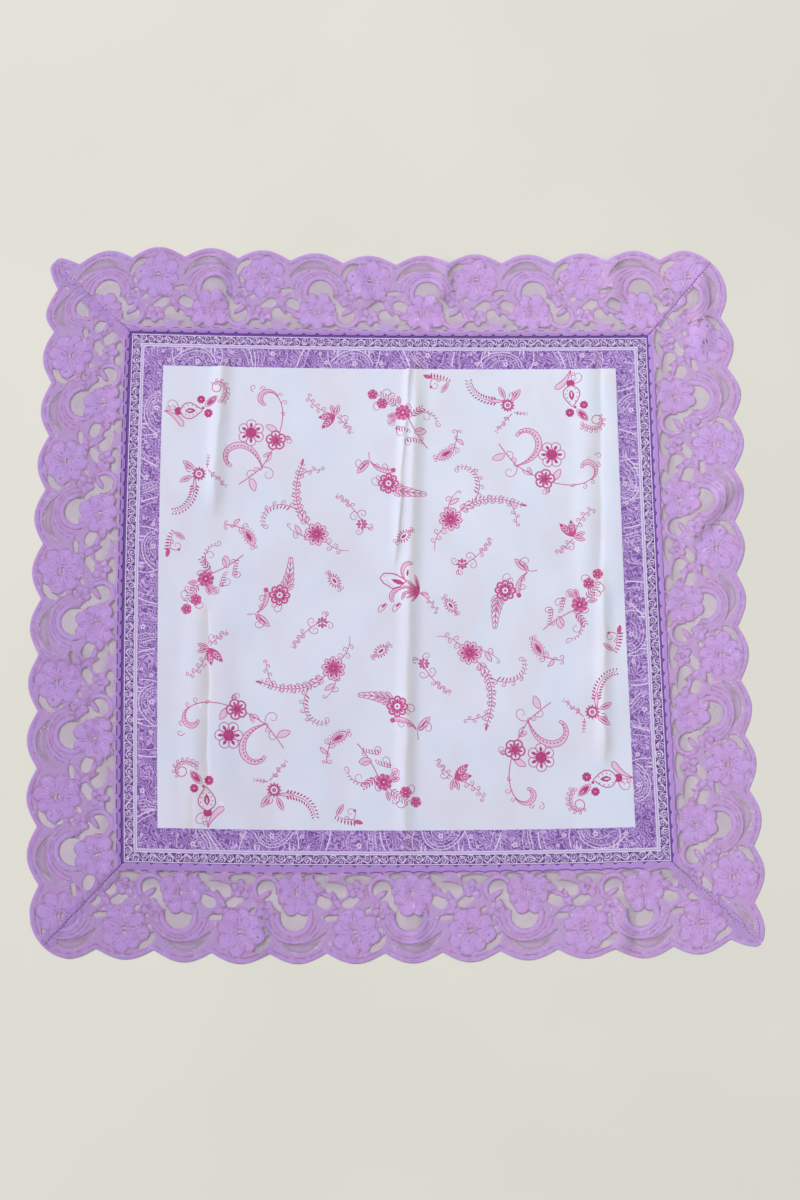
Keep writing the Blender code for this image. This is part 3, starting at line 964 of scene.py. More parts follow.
@dataclass(frozen=True)
class Pen:
    """Draws in millimetres about its own place, set down and turned on the pattern."""

    drawing: Drawing
    x: float
    y: float
    turn: float
    line_width: float = 0.92

    def put(self, path: Path) -> Path:
        """Move a path of the pen's own place to the pattern."""
        c, s = cos(radians(self.turn)), sin(radians(self.turn))
        return [(self.x + px * c - py * s, self.y + px * s + py * c) for px, py in path]

    def stroke(self, path: Path, ink: Ink = Ink.PINK, width: float = 1.0, closed: bool = False,
               tip: float = 0.6) -> Path:
        """Draw a line along a path, and return the path."""
        self.drawing.line(self.put(path), self.line_width * width, ink, closed, 1.0 if closed else tip)
        return path

    def stem(self, x: float, y: float, heading: float, length: float, first_bend: float,
             last_bend: float, steps: int, tip: float = 0.6) -> Path:
        """Draw a line that bends evenly, and return its path."""
        return self.stroke(swirl(x, y, heading, length, first_bend, last_bend, steps), tip=tip)

    def fill(self, path: Path, ink: Ink) -> None:
        """Fill an outline."""
        self.drawing.shape(self.put(path), ink)

    def dot(self, x: float, y: float, radius: float, ink: Ink = Ink.ROSE, sides: int = 7) -> None:
        """Fill a small round dot."""
        self.fill(ring(x, y, radius, radius, sides), ink)

    def drop(self, x: float, y: float, heading: float, length: float, width: float,
             ink: Ink = Ink.ROSE) -> None:
        """Fill a leaflet that starts at a point and ends in a point."""
        c, s = cos(radians(heading)), sin(radians(heading))
        outline = []
        for part, half in LEAFLET:
            along, off = part * length, half * width
            outline.append((x + along * c - off * s, y + along * s + off * c))
        self.fill(outline, ink)

    def curl(self, x: float, y: float, heading: float, size: float, hand: float = 1.0) -> None:
        """Draw a tendril that winds up at its end."""
        first, last = CURL_BENDS
        steps = CURL_STEPS + int(size / CURL_STEP_SIZE)
        self.stroke(swirl(x, y, heading, size, hand * first, hand * last, steps), width=CURL_LINE)

    def curls(self, spots: Iterable[tuple[float, float, float, float, int]]) -> None:
        """Draw several tendrils, each given as its start, heading, size and hand."""
        for spot in spots:
            self.curl(*spot)

    def leaf(self, x: float, y: float, heading: float, length: float, width: float, lean: float = 0.0,
             filled: Ink = Ink.BLUSH, vein: bool = True) -> None:
        """Draw an outlined leaf with a tint and a vein."""
        open_by = width * (1.0 + 1.0 / LEAF_STEPS)
        upper = swirl(x, y, heading + open_by, length, -2.0 * width + lean, -2.0 * width + lean, LEAF_STEPS)
        lower = swirl(x, y, heading - open_by, length, 2.0 * width + lean, 2.0 * width + lean, LEAF_STEPS)
        tip = ((upper[-1][0] + lower[-1][0]) / 2.0, (upper[-1][1] + lower[-1][1]) / 2.0)
        outline = upper[:-1] + [tip] + lower[-2:0:-1]
        self.fill(outline, filled)
        self.stroke(outline, closed=True, width=LEAF_LINE)
        if vein:
            start, long, wide = LEAF_VEIN
            self.drop(x + start * (tip[0] - x), y + start * (tip[1] - y), heading + lean / 2.0,
                      length * long, length * wide)

    def petals(self, x: float, y: float, radius: float, count: int, turn: float,
               shape: PetalShape) -> Iterator[tuple[float, Path]]:
        """Each petal of a flower: its direction, in degrees, and its round outline."""
        middle, length = radius * shape.middle, radius * shape.length
        width = radius * sin(pi / count) * shape.width
        for index in range(count):
            angle = turn + 360.0 * index / count
            c, s = cos(radians(angle)), sin(radians(angle))
            outline = []
            for along, off in ring(middle, 0.0, length, width, PETAL_POINTS):
                outline.append((x + along * c - off * s, y + along * s + off * c))
            yield angle, outline

    def bloom(self, x: float, y: float, radius: float, petals: int, turn: float, rim: float,
              heart: float, tint: Ink = Ink.CLOTH) -> None:
        """Draw a flower: round petals with a mark in each, and a filled heart."""
        start, long, wide = (share * radius for share in PETAL_MARK)
        for angle, outline in self.petals(x, y, radius, petals, turn, OPEN_PETAL):
            self.fill(outline, tint)
            self.stroke(outline, closed=True, width=rim)
            way = radians(angle)
            self.drop(x + start * cos(way), y + start * sin(way), angle, long, wide)
        self.dot(x, y, radius * heart, Ink.ROSE, 9)

    def full_bloom(self, x: float, y: float, radius: float, petals: int, turn: float) -> None:
        """Draw a flower whose petals are filled, with a pale eye."""
        for _, outline in self.petals(x, y, radius, petals, turn, FULL_PETAL):
            self.fill(outline, Ink.PINK)
            self.stroke(outline, Ink.BLUSH, FULL_PETAL_LINE, closed=True)
        self.eye(x, y, radius, FULL_HEART)

    def eye(self, x: float, y: float, radius: float, shares: tuple[float, float]) -> None:
        """Fill a dark heart with a pale eye."""
        heart, eye = shares
        self.dot(x, y, radius * heart, Ink.ROSE, 8)
        self.dot(x, y, radius * eye, Ink.BLUSH, 5)

    def fringed(self, x: float, y: float, radius: float, petals: int) -> None:
        """Draw a daisy with small drops round a filled heart."""
        for ink, reach_share, share, shift in DAISY_RINGS:
            for index in range(petals):
                angle = 360.0 * (index + shift) / petals
                reach = radius * reach_share * (1.0 - share)
                c, s = cos(radians(angle)), sin(radians(angle))
                length, width = radius * share * DAISY_OVERLAP, radius * DAISY_PETAL_WIDTH
                self.drop(x + reach * c, y + reach * s, angle, length, width, ink)
        self.eye(x, y, radius, DAISY_HEART)

    def rosette(self, x: float, y: float, radius: float) -> None:
        """Draw a small filled round flower with a pale eye."""
        outer = ring(x, y, radius, radius, ROSETTE_POINTS)
        inner = ring(x, y, radius * ROSETTE_NOTCH, radius * ROSETTE_NOTCH, ROSETTE_POINTS)
        self.fill([outer[index] if index % 2 else inner[index] for index in range(ROSETTE_POINTS)], Ink.ROSE)
        self.dot(x, y, radius * ROSETTE_EYE, Ink.BLUSH, 6)

    def leaflets(self, path: Path, size: float, sides: tuple[int, ...] = (1, -1), first: int = 1,
                 lean: float = 48.0, fat: float = 0.3, step: int = 1, gap: float = 0.5) -> None:
        """Set small leaves along a stem, a gap from it and shorter towards its end."""
        last = len(path) - 1
        for index in range(first, last + 1, step):
            length = size * (1.0 - LEAFLET_TAPER * index / last)
            for side in sides:
                way = heading_at(path, index) + 90.0 * side
                x = path[index][0] + gap * cos(radians(way))
                y = path[index][1] + gap * sin(radians(way))
                self.drop(x, y, heading_at(path, index) + lean * side, length, length * fat)

    def tendrils(self, path: Path, size: float, sides: tuple[int, ...] = (1, -1), first: int = 1,
                 lean: float = 55.0, step: int = 1) -> None:
        """Set small curls along a stem, on its sides by turns."""
        last = len(path) - 1
        for count, index in enumerate(range(first, last + 1, step)):
            side = sides[count % len(sides)]
            length = size * (1.0 - TENDRIL_TAPER * index / last)
            self.curl(*path[index], heading_at(path, index) + lean * side, length, side)

    def crescent(self, path: Path, width: float, dots: bool = True, full: float = 0.75) -> None:
        """Draw a curved horn with dots along it, pointed at its start and full towards its end."""
        left, right = [], []
        last = len(path) - 1
        for index, (x, y) in enumerate(path):
            way = radians(heading_at(path, index))
            part = index / last
            if part < full:
                swell = sin(pi * part / full / 2.0)
            else:
                swell = 1.0 - HORN_END_DROP * (part - full) / (1.0 - full)
            half = width / 2.0 * max(swell, HORN_TIP)
            left.append((x - sin(way) * half, y + cos(way) * half))
            right.append((x + sin(way) * half, y - cos(way) * half))
        self.drawing.strip(self.put(left), self.put(right), Ink.BLUSH)
        self.stroke(left + right[::-1], closed=True, width=HORN_LINE)
        turn, long, wide = HORN_DOT
        for index in range(2, last if dots else 0):
            self.drop(*path[index], heading_at(path, index) + turn, long * width, wide * width, Ink.PINK)


def draw_vine(pen: Pen) -> None:
    """A long bent vine with two flowers, two horns and many curls, about 95 mm high."""
    stem = pen.stem(-23.3, -16.9, 31, 28.8, 5, 12, 7, tip=1.0)
    pen.leaf(-12.4, -11.2, -57, 16, 52, -20, vein=False)
    pen.crescent(swirl(0, 0, 104, 66, 40, 400, 18), 6.2, full=0.6)
    upper = pen.stem(0, 0, 52, 22, 5, 20, 7, tip=1.0)
    tall = pen.stem(18.6, 35, 73, 46, 10, 120, 11, tip=1.0)
    pen.crescent(swirl(*tall[-3], heading_at(tall, 8), 33, 130, 320, 12), 5.0)
    pen.leaf(16.4, 34, 133, 16, 46, 16, vein=False)
    pen.curls(((*stem[5], 135, 20, 1), (*stem[6], 105, 11, 1),
               (*stem[-1], 8, 31, -1), (*stem[-1], -70, 8, -1),
               (*upper[2], 10, 22, 1), (*upper[3], 60, 13, 1), (*upper[4], 120, 11, -1),
               (*tall[4], 30, 10, 1), (*tall[7], 80, 13, -1), (*tall[9], 95, 11, -1), (0, 79, 88, 11, -1),
               (-7, 77, 148, 15, -1), (23.5, 30, 35, 12, -1), (24, 30, 6, 18, -1), (25, 28, -60, 8, 1)))
    pen.bloom(14.6, 26.4, 9.6, 5, 20, 1.9, 0.36)
    pen.bloom(-9.9, 35.0, 13.2, 6, 28, 0.95, 0.42)


def draw_bud(pen: Pen) -> None:
    """A round bud on its calyx with two rosettes, a drop and a scaled curl, about 70 mm."""
    pen.crescent(swirl(-38.5, -1.6, -20, 25, -26, -66, 8), 5.6, False, 0.9)
    pen.stem(-38.5, -1.6, 4, 14, 0, -6, 3)
    pen.curls(((-24.5, 2, 96, 25, 1), (-33, -1.2, 70, 10, 1), (-28, -1, 40, 8, 1)))
    pen.dot(-24.4, -2.4, 4.2, Ink.ROSE, 10)
    parts = (0.0, 0.12, 0.28, 0.48, 0.68, 0.85, 1.0)
    body = [(-23 + 22.6 * part, -2.4 + 8.4 * sin(pi * part ** 0.72)) for part in parts]
    outline = body + [(x, -4.8 - y) for x, y in body[-2:0:-1]]
    pen.fill(outline, Ink.CLOTH)
    pen.stroke(outline, closed=True, width=1.2)
    for x, y in ((-19, 1.6), (-17.5, -6.2), (-15, 3.6), (-14, -7.8),
                 (-10.5, 2.8), (-10, -6.8), (-6.5, 0.9), (-6.2, -4.8)):
        pen.dot(x, y, 0.75, Ink.PINK, 5)
    pen.drop(-17.6, -2.4, 0, 10.6, 5.6)
    pen.drop(-16.4, -2.4, 0, 6.0, 1.5, Ink.CLOTH)
    pen.dot(0, 0, 1.5, Ink.ROSE, 7)
    pen.rosette(-1.6, 8.8, 4.5)
    pen.rosette(5.3, -5.6, 4.8)
    pen.leaf(2, 1.4, 38, 18.5, 46, 0, Ink.CLOTH, False)
    pen.leaf(3.8, 2.8, 38, 14, 42, 0, Ink.PINK, False)
    pen.drop(5.6, 4.2, 38, 10, 3.6)
    pen.drop(9, 7.0, 38, 4.6, 0.9, Ink.CLOTH)
    scroll = pen.stem(18.4, 3.6, 50, 56, 30, 860, 26, tip=1.0)
    pen.tendrils(scroll[:17], 9.5, (1, -1), 1, 66)


def draw_branch(pen: Pen) -> None:
    """A daisy with two leaves, a beaded frond and a twig, about 50 mm."""
    frond = pen.stem(-4.5, -3, 280, 46, -30, -150, 15)
    pen.leaflets(frond, 4.4, (1, -1), 3, 60, 0.46, gap=1.3)
    pen.crescent(frond[:6], 3.2, False, 0.6)
    pen.leaf(-4.5, 4.2, 147, 16, 40)
    pen.leaf(-6.5, -2.6, 208, 15, 40)
    pen.curls(((-8, 1.6, 200, 13, -1), (-10, 5, 215, 10, -1)))
    twig = pen.stem(8.5, 4.5, -42, 24, 4, 10, 8)
    pen.leaflets(twig, 3.2, (1, -1), 2, 48, 0.4, 2)
    pen.tendrils(twig, 8.0, (-1, 1), 3, 60, 2)
    short = pen.stem(7.5, 6, 84, 13, 0, 10, 4)
    pen.leaflets(short, 2.4, (1, -1), 1, 48, 0.5)
    pen.fringed(0, 0, 7.4, 12)


def draw_fern(pen: Pen) -> None:
    """A forked fern from a full flower, one arm a feather, about 90 mm."""
    trunk = pen.stem(-5, 7, 142, 67, -110, -40, 18, tip=1.0)
    pen.leaflets(trunk, 5.4, (1, -1), 4, 56, 0.24)
    pen.tendrils(trunk[:15], 15.0, (-1,), 3, 66, 2)
    pen.tendrils(trunk[:17], 12.0, (1,), 10, 60, 3)
    for side in (1, -1):
        pen.leaf(-13, 14.5, 96 + 46 * side, 9.5, 40, -50 * side, Ink.CLOTH, False)
        pen.leaf(-9.5, 11.0, 118 + 62 * side, 7.5, 40, -50 * side, Ink.CLOTH, False)
    pen.leaf(*trunk[-1], 78, 7.0, 30, 0, Ink.PINK, False)
    arm = pen.stem(-17.8, 24.1, 140, 49, 70, 200, 12)
    pen.leaflets(arm, 5.8, (1,), 2, 64, 0.28)
    pen.leaflets(arm, 3.4, (-1,), 8, 54, 0.3)
    pen.tendrils(arm[:9], 12.0, (-1,), 2, 64, 2)
    pen.curl(*arm[-1], 276, 14, 1)
    twig = pen.stem(*trunk[15], 28, 26, -14, -50, 6)
    pen.tendrils(twig, 10.0, (-1, 1), 1, 60)
    tail = pen.stem(8, -7, -54, 26, 44, 66, 6)
    pen.tendrils(tail[:5], 14, (1, -1), 1, 58, 1)
    side = pen.stem(-8, -3, 168, 22, -12, -60, 6)
    pen.leaf(*side[2], 118, 13, 40, 0, Ink.BLUSH, False)
    pen.curls(((*side[-1], 150, 9, -1), (*side[4], 230, 14, 1),
               (*side[1], 120, 9, -1), (*side[1], 230, 9, 1)))
    pen.bloom(0, 0, 11.4, 9, 0, 0.9, 0.34, Ink.BLUSH)
    pen.fringed(0, 0, 7.2, 9)


def draw_cluster(pen: Pen) -> None:
    """Three full flowers in a row with leaves, fronds and tendrils, about 75 mm."""
    right = pen.stem(7, -6, 52, 16, -10, -30, 5)
    pen.leaflets(right, 5.2, (1, -1), 1, 44, 0.34)
    hook = pen.stem(*right[3], 8, 24, -20, -130, 7)
    pen.leaflets(hook, 3.6, (1,), 2, 50, 0.36)
    spine = pen.stem(5, -5, -66, 37, 8, 26, 12, tip=1.0)
    for x, y, way, length in ((-7, -13.5, -12, 15), (4, -26, -6, 15)):
        row = pen.stem(x, y, way, length, 0, -30, 5)
        pen.leaflets(row, 5.0, (-1,), 0, 64, 0.3)
    pen.leaf(11, -20.5, 8, 15, 60, 0, Ink.BLUSH, False)
    pen.leaf(12, -19.8, 34, 10, 40, -20, Ink.BLUSH, False)
    link = pen.stem(-5, 6, 138, 21, 10, 10, 7)
    pen.leaflets(link, 5.4, (1, -1), 1, 50, 0.24)
    for x, y, way, length in ((-3, 8, 100, 10.5), (-6, -1, 196, 11), (-6, -3, 228, 12)):
        pen.leaf(x, y, way, length, 44)
    pen.curls(((15, -3, 52, 27, -1), (8, 2, 70, 17, 1), (*hook[-1], 240, 14, 1), (6, -8, 70, 16, 1),
               (-5, -15, 236, 21, 1), (3, -27, 236, 16, 1), (*spine[9], 40, 10, 1), (-22, 18, 76, 24, -1),
               (-14, 18, 60, 14, -1), (-24, 12, 196, 22, 1), (-8, -2, 190, 26, 1), (-12, 12, 84, 11, -1)))
    pen.full_bloom(0, 0, 8.4, 8, 10)
    pen.full_bloom(-20.6, 9.5, 5.9, 6, 0)
    pen.full_bloom(-30.0, 18.6, 5.4, 5, 18)


def draw_sprig(pen: Pen) -> None:
    """Four pointed leaves, two of them dark, between two twigs, about 55 mm."""
    first = pen.stem(-3, 2, 162, 32, -16, -90, 9)
    pen.tendrils(first, 11.0, (1, -1), 2, 56)
    second = pen.stem(2, -1, -38, 21, -20, -30, 6)
    pen.tendrils(second, 9.5, (1, -1), 1, 58)
    pen.leaflets(second, 3.6, (1, -1), 3, 50, 0.3)
    pen.curl(6, -2, 50, 16, -1)
    for way, length in ((106, 13), (68, 13)):
        pen.leaf(0, 0, way, length, 42)
    for way, length in ((184, 18), (222, 20)):
        pen.leaf(0, 0, way, length, 42, 0, Ink.PINK, False)
        pen.stroke(swirl(0, 0, way, length * 0.94, 0, 0, 4), Ink.ROSE, 1.2)
        for step in (0.3, 0.46, 0.62):
            for side in (1, -1):
                spot = (step * length * cos(radians(way)), step * length * sin(radians(way)))
                pen.drop(*spot, way + 36 * side, length * 0.22, 1.1, Ink.BLUSH)


def draw_leaves(pen: Pen) -> None:
    """Two leaves joined by a row of leaflets and a curl, about 25 mm."""
    row = pen.stem(-4.5, 3.5, -4, 17.5, 20, -80, 6)
    pen.leaflets(row, 6.0, (1,), 0, 96, 0.32)
    pen.leaf(-4, 4.6, 166, 10, 44, 0, Ink.PINK, False)
    pen.leaf(*row[-1], 236, 13.5, 38)
    pen.curls(((-4, 3, 232, 23, 1), (0, 2.6, -70, 10, 1)))
    pen.dot(-5.2, -5.0, 1.6, Ink.PINK, 6)


def draw_paisley(pen: Pen) -> None:
    """A fringed drop on a bent twig with a small leaf, about 38 mm."""
    stem = pen.stem(6.6, 3, 64, 20, 10, 30, 7, tip=1.0)
    pen.leaf(*stem[4], -10, 10, 44, -50, vein=False)
    pen.curls(((*stem[2], 140, 13, 1), (*stem[1], 10, 14, -1), (*stem[4], 150, 9, -1),
               (*stem[-1], 120, 11, 1), (*stem[-1], 50, 9, -1),
               (-8.5, -4.4, 160, 10, 1), (-8.5, -4.4, 206, 12, -1)))
    c, s = cos(radians(27)), sin(radians(27))
    for index, (x, y) in enumerate(ring(0.0, 0.0, 9.4, 5.2, 18)):
        pen.drop(x * c - y * s, x * s + y * c, 20.0 * index + 27, 1.7, 0.9, Ink.PINK)
    pen.leaf(-9.6, -4.9, 27, 22.0, 50, 0, Ink.BLUSH, False)
    pen.leaf(-6.4, -3.3, 27, 14.5, 44, 0, Ink.CLOTH, False)
    pen.drop(-5, -2.4, 27, 11, 4.0)


def draw_fan(pen: Pen) -> None:
    """A ringed flower between a long leaf and a plume of small leaves, about 60 mm."""
    pen.leaf(-19.6, 23, 234, 20, 38, -6, Ink.BLUSH)
    pen.stem(-20.5, 31, 276, 9, 10, -20, 3)
    pen.crescent(swirl(-18.5, 21.5, -56, 28, 60, 90, 10), 4.4)
    pen.dot(4.4, 13.4, 2.5, Ink.PINK, 8)
    pen.curls(((-27, 13.5, 172, 22, -1), (-25, 16, 120, 15, -1), (-15, 17, 60, 12, -1), (-2, 13, 60, 16, 1),
               (-7, -1, 214, 23, -1), (-8, 3, 190, 12, -1), (-6, -5, 246, 9, 1)))
    plume = pen.stem(5, -6, -12, 26, 0, 20, 5, tip=1.0)
    for index, (x, y) in enumerate(plume):
        for side in (1, -1):
            way = heading_at(plume, index) + (56 - 6 * index) * side
            pen.leaf(x, y, way, 11.0 - 0.6 * index, 40, -30 * side, Ink.CLOTH, index < 3)
    pen.bloom(0, 0, 9.6, 8, 0, 2.2, 0.1, Ink.CLOTH)
    for x, y in ring(0.0, 0.0, 3.6, 3.6, 8):
        pen.dot(x, y, 0.8, Ink.ROSE, 5)
    pen.dot(0, 0, 1.3, Ink.ROSE, 7)


def draw_star(pen: Pen) -> None:
    """A small round flower with a curling twig above it, about 40 mm."""
    twig = pen.stem(-1, 5, 122, 33, 6, 50, 10)
    pen.leaflets(twig, 3.6, (1, -1), 5, 52, 0.28)
    pen.tendrils(twig, 8.5, (1, -1), 6, 60)
    pen.curls(((*twig[2], 60, 20, -1), (*twig[3], 200, 20, 1), (*twig[5], 80, 10, -1), (1, -5, -90, 17, -1),
               (5, -3, -40, 13, 1), (6, -4, -70, 10, 1)))
    for index, (x, y) in enumerate(ring(0.0, 0.0, 2.4, 2.4, 8)):
        pen.drop(x, y, 45.0 * index, 3.6, 2.6, Ink.PINK)
    for side in (20, 70, 160, 200, 290, 340):
        pen.drop(0, 0, side, 4.2, 1.2)
    pen.dot(0, 0, 0.8, Ink.BLUSH, 5)


def draw_wreath(pen: Pen) -> None:
    """A small oval flower with a fringe of drops and two twigs, about 20 mm."""
    for index, (x, y) in enumerate(ring(0.0, 0.0, 3.4, 5.4, 14)):
        pen.drop(x, y, 360.0 * index / 14, 3.0, 1.5, Ink.PINK)
    rim = ring(0.0, 0.0, 3.3, 5.2, 10)
    pen.fill(rim, Ink.CLOTH)
    pen.stroke(rim, closed=True, width=0.8)
    pen.drop(0, -3.0, 90, 6.4, 3.0)
    for side in (-1, 1):
        pen.curls(((0.5 * side, 7.2 * side, 60 * side, 11, side), (0, 7.2 * side, 118 * side, 10, -side)))


def draw_lily(pen: Pen) -> None:
    """The middle flower: a dotted petal, two horns and a fan of narrow petals, about 55 mm."""
    upper, lower = swirl(2, 4, 128, 28, 60, 70, 7), swirl(-11.5, -3, 145, 13, 0, 20, 4)
    petal = upper[:-1] + [(-23.5, 7.6)] + lower[-2::-1] + [(-4, -1)]
    pen.fill(petal, Ink.CLOTH)
    pen.stroke(petal, closed=True, width=1.3)
    pen.drop(0, 1.5, 160, 13.5, 4.6)
    for x, y in ((-19, 9.2), (-16.5, 10.6), (-13.5, 11.6), (-10, 12), (-7, 11.6),
                 (-17, 5.0), (-15, 2.8), (-13, 1.0), (-11, -0.6)):
        pen.dot(x, y, 0.55, Ink.PINK, 5)
    pen.crescent(swirl(1, 5, 120, 24, -20, -260, 10), 4.2)
    pen.crescent(swirl(2, -2, 184, 24, 0, 230, 10), 4.4)
    pen.drop(3, 9, 82, 7, 2.4)
    pen.leaf(1, -6, 246, 9.5, 38)
    for way, length in ((232, 13), (206, 15), (183, 17), (160, 17), (138, 18), (104, 18)):
        pen.leaf(14.8, -6.3, way, length, 20, 0, Ink.BLUSH, False)
        pen.drop(14.8, -6.3, way, length * 0.8, length * 0.1)
    twig = pen.stem(15, -7, -36, 26, -10, -50, 8)
    pen.tendrils(twig, 8.5, (1, -1), 3, 60)
    pen.leaf(16, -7, -10, 8, 36, 0, Ink.BLUSH, False)
    for x, y in ((-24.4, -26.6), (-10.6, -26.0)):
        pen.leaf(x, y, 84, 13, 50, -60, Ink.CLOTH, False)
        pen.drop(x + 2.4, y + 4.6, 50, 6.6, 2.2)


# What draws a spray, x and y of its flower or fork, and its turn in degrees. Each one but
# the middle one is set down four times, a quarter turn on each time
SPRAYS = (
    (draw_bud, -186.9, 183.6, 3.0),
    (draw_vine, -127.4, 124.5, 2.0),
    (draw_branch, -189.4, 116.6, -2.0),
    (draw_fern, -73.4, 58.0, 2.0),
    (draw_cluster, 12.1, 181.4, 0.0),
    (draw_sprig, -55.4, 177.7, 3.0),
    (draw_leaves, 45.6, 213.1, 0.0),
    (draw_paisley, 55.1, 139.7, 3.0),
    (draw_fan, -2.6, 109.6, -2.0),
    (draw_star, -29.0, 68.4, 1.0),
    (draw_wreath, 12.0, 56.3, -52.0),
)
MIDDLE_SPRAY = (draw_lily, 11.5, 7.6, 0.0)
SPRAYS_SHIFT = (1.3, 0.0)


@dataclass(frozen=True)
class Drop:
    """A curved paisley drop of the border, cut off where it passes the band's edges."""

    along: float
    out: float
    radius: float
    turn: float
    hand: float
    tail: float = 1.5
    tail_power: int = 7
    twist: float = 0.62

    def outline(self, share: float, steps: int = 30) -> Path:
        """Its outline, or one inside it at a share of its size."""
        points = []
        for index in range(steps + 1):
            angle = 2.0 * pi * index / steps
            tail = self.tail * abs(cos(angle / 2.0)) ** self.tail_power
            reach = self.radius * share * (1.0 + tail)
            way = angle + self.twist * tail * self.hand + radians(self.turn)
            points.append((self.along + reach * cos(way), self.out + reach * sin(way)))
        return points


# A place outside every band, which ends a line's last run
OUTSIDE = (0.0, 1000.0)

# The lines of a drop, one inside another: share of its size and width
DROP_LINES = ((1.0, 1.2), (0.84, 0.6), (0.5, 0.55))

# The rows of leaflets in a drop: share of its size, number, lean, size and ink
DROP_FRINGES = ((0.92, 44, 0.0, 1.5, Ink.PLUM), (0.64, 26, 60.0, 1.7, Ink.PALE))


@dataclass
class Print:
    """The whole print of the cotton: scattered sprays inside a paisley and scroll border."""

    pieces_per_side: int = 6
    piece_shift: float = 6.0
    drop_out: float = 9.0
    drop_radius: Pair = (15.0, 19.0)
    drop_wander: float = 30.0
    drop_lean: float = 60.0
    drop_flower: Pair = (4.5, 3.2)
    sweep_bend: Pair = (30.0, 80.0)
    sweep_length: Pair = (34.0, 44.0)
    sweep_lean: Pair = (22.0, 44.0)
    sweep_start: float = 11.0
    sweep_ease: float = 0.3
    sweep_steps: int = 16
    sweep_shifts: tuple[float, float, float] = (12.0, 6.5, 16.0)
    sweep_widths: tuple[float, float, float] = (1.3, 0.6, 0.95)
    second_turn: float = 5.0
    third_length: float = 0.8
    third_bend: float = 1.6
    sweep_mark: tuple[float, float, float] = (1.8, 60.0, 1.6)
    sweep_flowers: tuple[tuple[float, float, float], ...] = ((9.0, 4.0, 2.6), (3.0, -5.5, 2.0))
    spikes: tuple[tuple[float, float], ...] = ((0.0, 9.5), (3.4, 6.0))
    spike_shift: float = 21.0
    spike_half: float = 1.0
    spike_foot: float = -9.3
    spike_lean: float = 0.3
    spike_room: float = 4.0
    mark_room: float = 1.2
    mark_width: float = 0.55
    flower_room: float = 0.4
    flower_petals: int = 5
    flower_petal_width: float = 0.62
    flower_eye: float = 0.26
    seed: int = 11
    drawing: Drawing = field(default_factory=Drawing)

    def draw(self) -> Drawing:
        """Draw the border and the sprays."""
        random = np.random.default_rng(self.seed)
        for side in range(4):
            self.draw_paisleys(side, random)
            self.draw_lines(side)
        shift_x, shift_y = SPRAYS_SHIFT
        for draw, x, y, turn in SPRAYS:
            for quarter in range(4):
                draw(Pen(self.drawing, shift_x + x, shift_y + y, turn - 90.0 * quarter))
                x, y = y, -x
        draw, x, y, turn = MIDDLE_SPRAY
        draw(Pen(self.drawing, shift_x + x, shift_y + y, turn))
        return self.drawing

    def side_pen(self, side: int, out: float = BAND_MIDDLE, width: float = 1.0) -> Pen:
        """A pen set at the middle of one side of the border, with its x along that side."""
        angle = radians(90.0 * side)
        return Pen(self.drawing, out * sin(angle), -out * cos(angle), 90.0 * side, line_width=width)

    def draw_lines(self, side: int) -> None:
        """The two pale lines and the thin outer line, straight to the corners."""
        for out, width in STRAIGHT_LINES:
            reach = out + width / 2.0
            path = [(-reach + 2.0 * reach * index / STRAIGHT_STEPS, 0.0)
                    for index in range(STRAIGHT_STEPS + 1)]
            self.side_pen(side, out, width).stroke(path, Ink.PALE, tip=1.0)

    def draw_paisleys(self, side: int, random: np.random.Generator) -> None:
        """Curved drops, crossing pale sweeps and spikes, no two alike."""
        pitch = 2.0 * WHITE_HALF / self.pieces_per_side
        for index in range(self.pieces_per_side):
            along = -WHITE_HALF + pitch * (index + 0.5) + random.uniform(-self.piece_shift, self.piece_shift)
            inner = 1.0 if (index + side) % 2 else -1.0
            radius = random.uniform(*self.drop_radius)
            turn = random.uniform(-self.drop_wander, self.drop_wander) + 90.0 - self.drop_lean * inner
            big = Drop(along, self.drop_out * inner, radius, turn, inner)
            for share, width in DROP_LINES:
                self.band_line(side, big.outline(share), width)
            for share, steps, lean, size, ink in DROP_FRINGES:
                for x, y in big.outline(share, steps):
                    way = degrees(atan2(y - big.out, x - big.along)) + lean
                    self.band_mark(side, x, y, way, size, ink)
            flower_out, flower_size = self.drop_flower
            self.band_flower(side, along, flower_out * inner, flower_size)
            self.draw_sweeps(side, along + pitch * 0.5, -inner, random)

    def draw_sweeps(self, side: int, along: float, hand: float, random: np.random.Generator) -> None:
        """Pale curves that cross the band, and a pair of spikes from its outer line."""
        bend = -hand * random.uniform(*self.sweep_bend)
        length = random.uniform(*self.sweep_length)
        way = 90.0 + hand * random.uniform(*self.sweep_lean)
        start, steps = self.sweep_start, self.sweep_steps
        shift, next_shift, last_shift = self.sweep_shifts
        eased = bend * self.sweep_ease
        first = swirl(along - hand * shift, -start, way, length, bend, eased, steps)
        second = swirl(along - hand * next_shift, -start, way + self.second_turn, length, bend, eased, steps)
        third = swirl(along + hand * last_shift, start, -way, length * self.third_length,
                      -bend, -bend * self.third_bend, steps)
        for path, width in zip((first, second, third), self.sweep_widths):
            self.band_line(side, path, width)
        mark_shift, mark_turn, mark_size = self.sweep_mark
        for x, y in second[2::2]:
            self.band_mark(side, x + mark_shift * hand, y, way - mark_turn, mark_size, Ink.PLUM)
        for flower_shift, out, size in self.sweep_flowers:
            self.band_flower(side, along + hand * flower_shift, out, size)
        spike = along + hand * self.spike_shift
        for shift, reach in self.spikes:
            x, foot = spike + shift, self.spike_foot
            if abs(x) < WHITE_HALF - self.spike_room:
                tip = (x + shift * self.spike_lean, foot + reach)
                outline = [(x - self.spike_half, foot), (x + self.spike_half, foot), tip]
                self.side_pen(side).fill(outline, Ink.PALE)

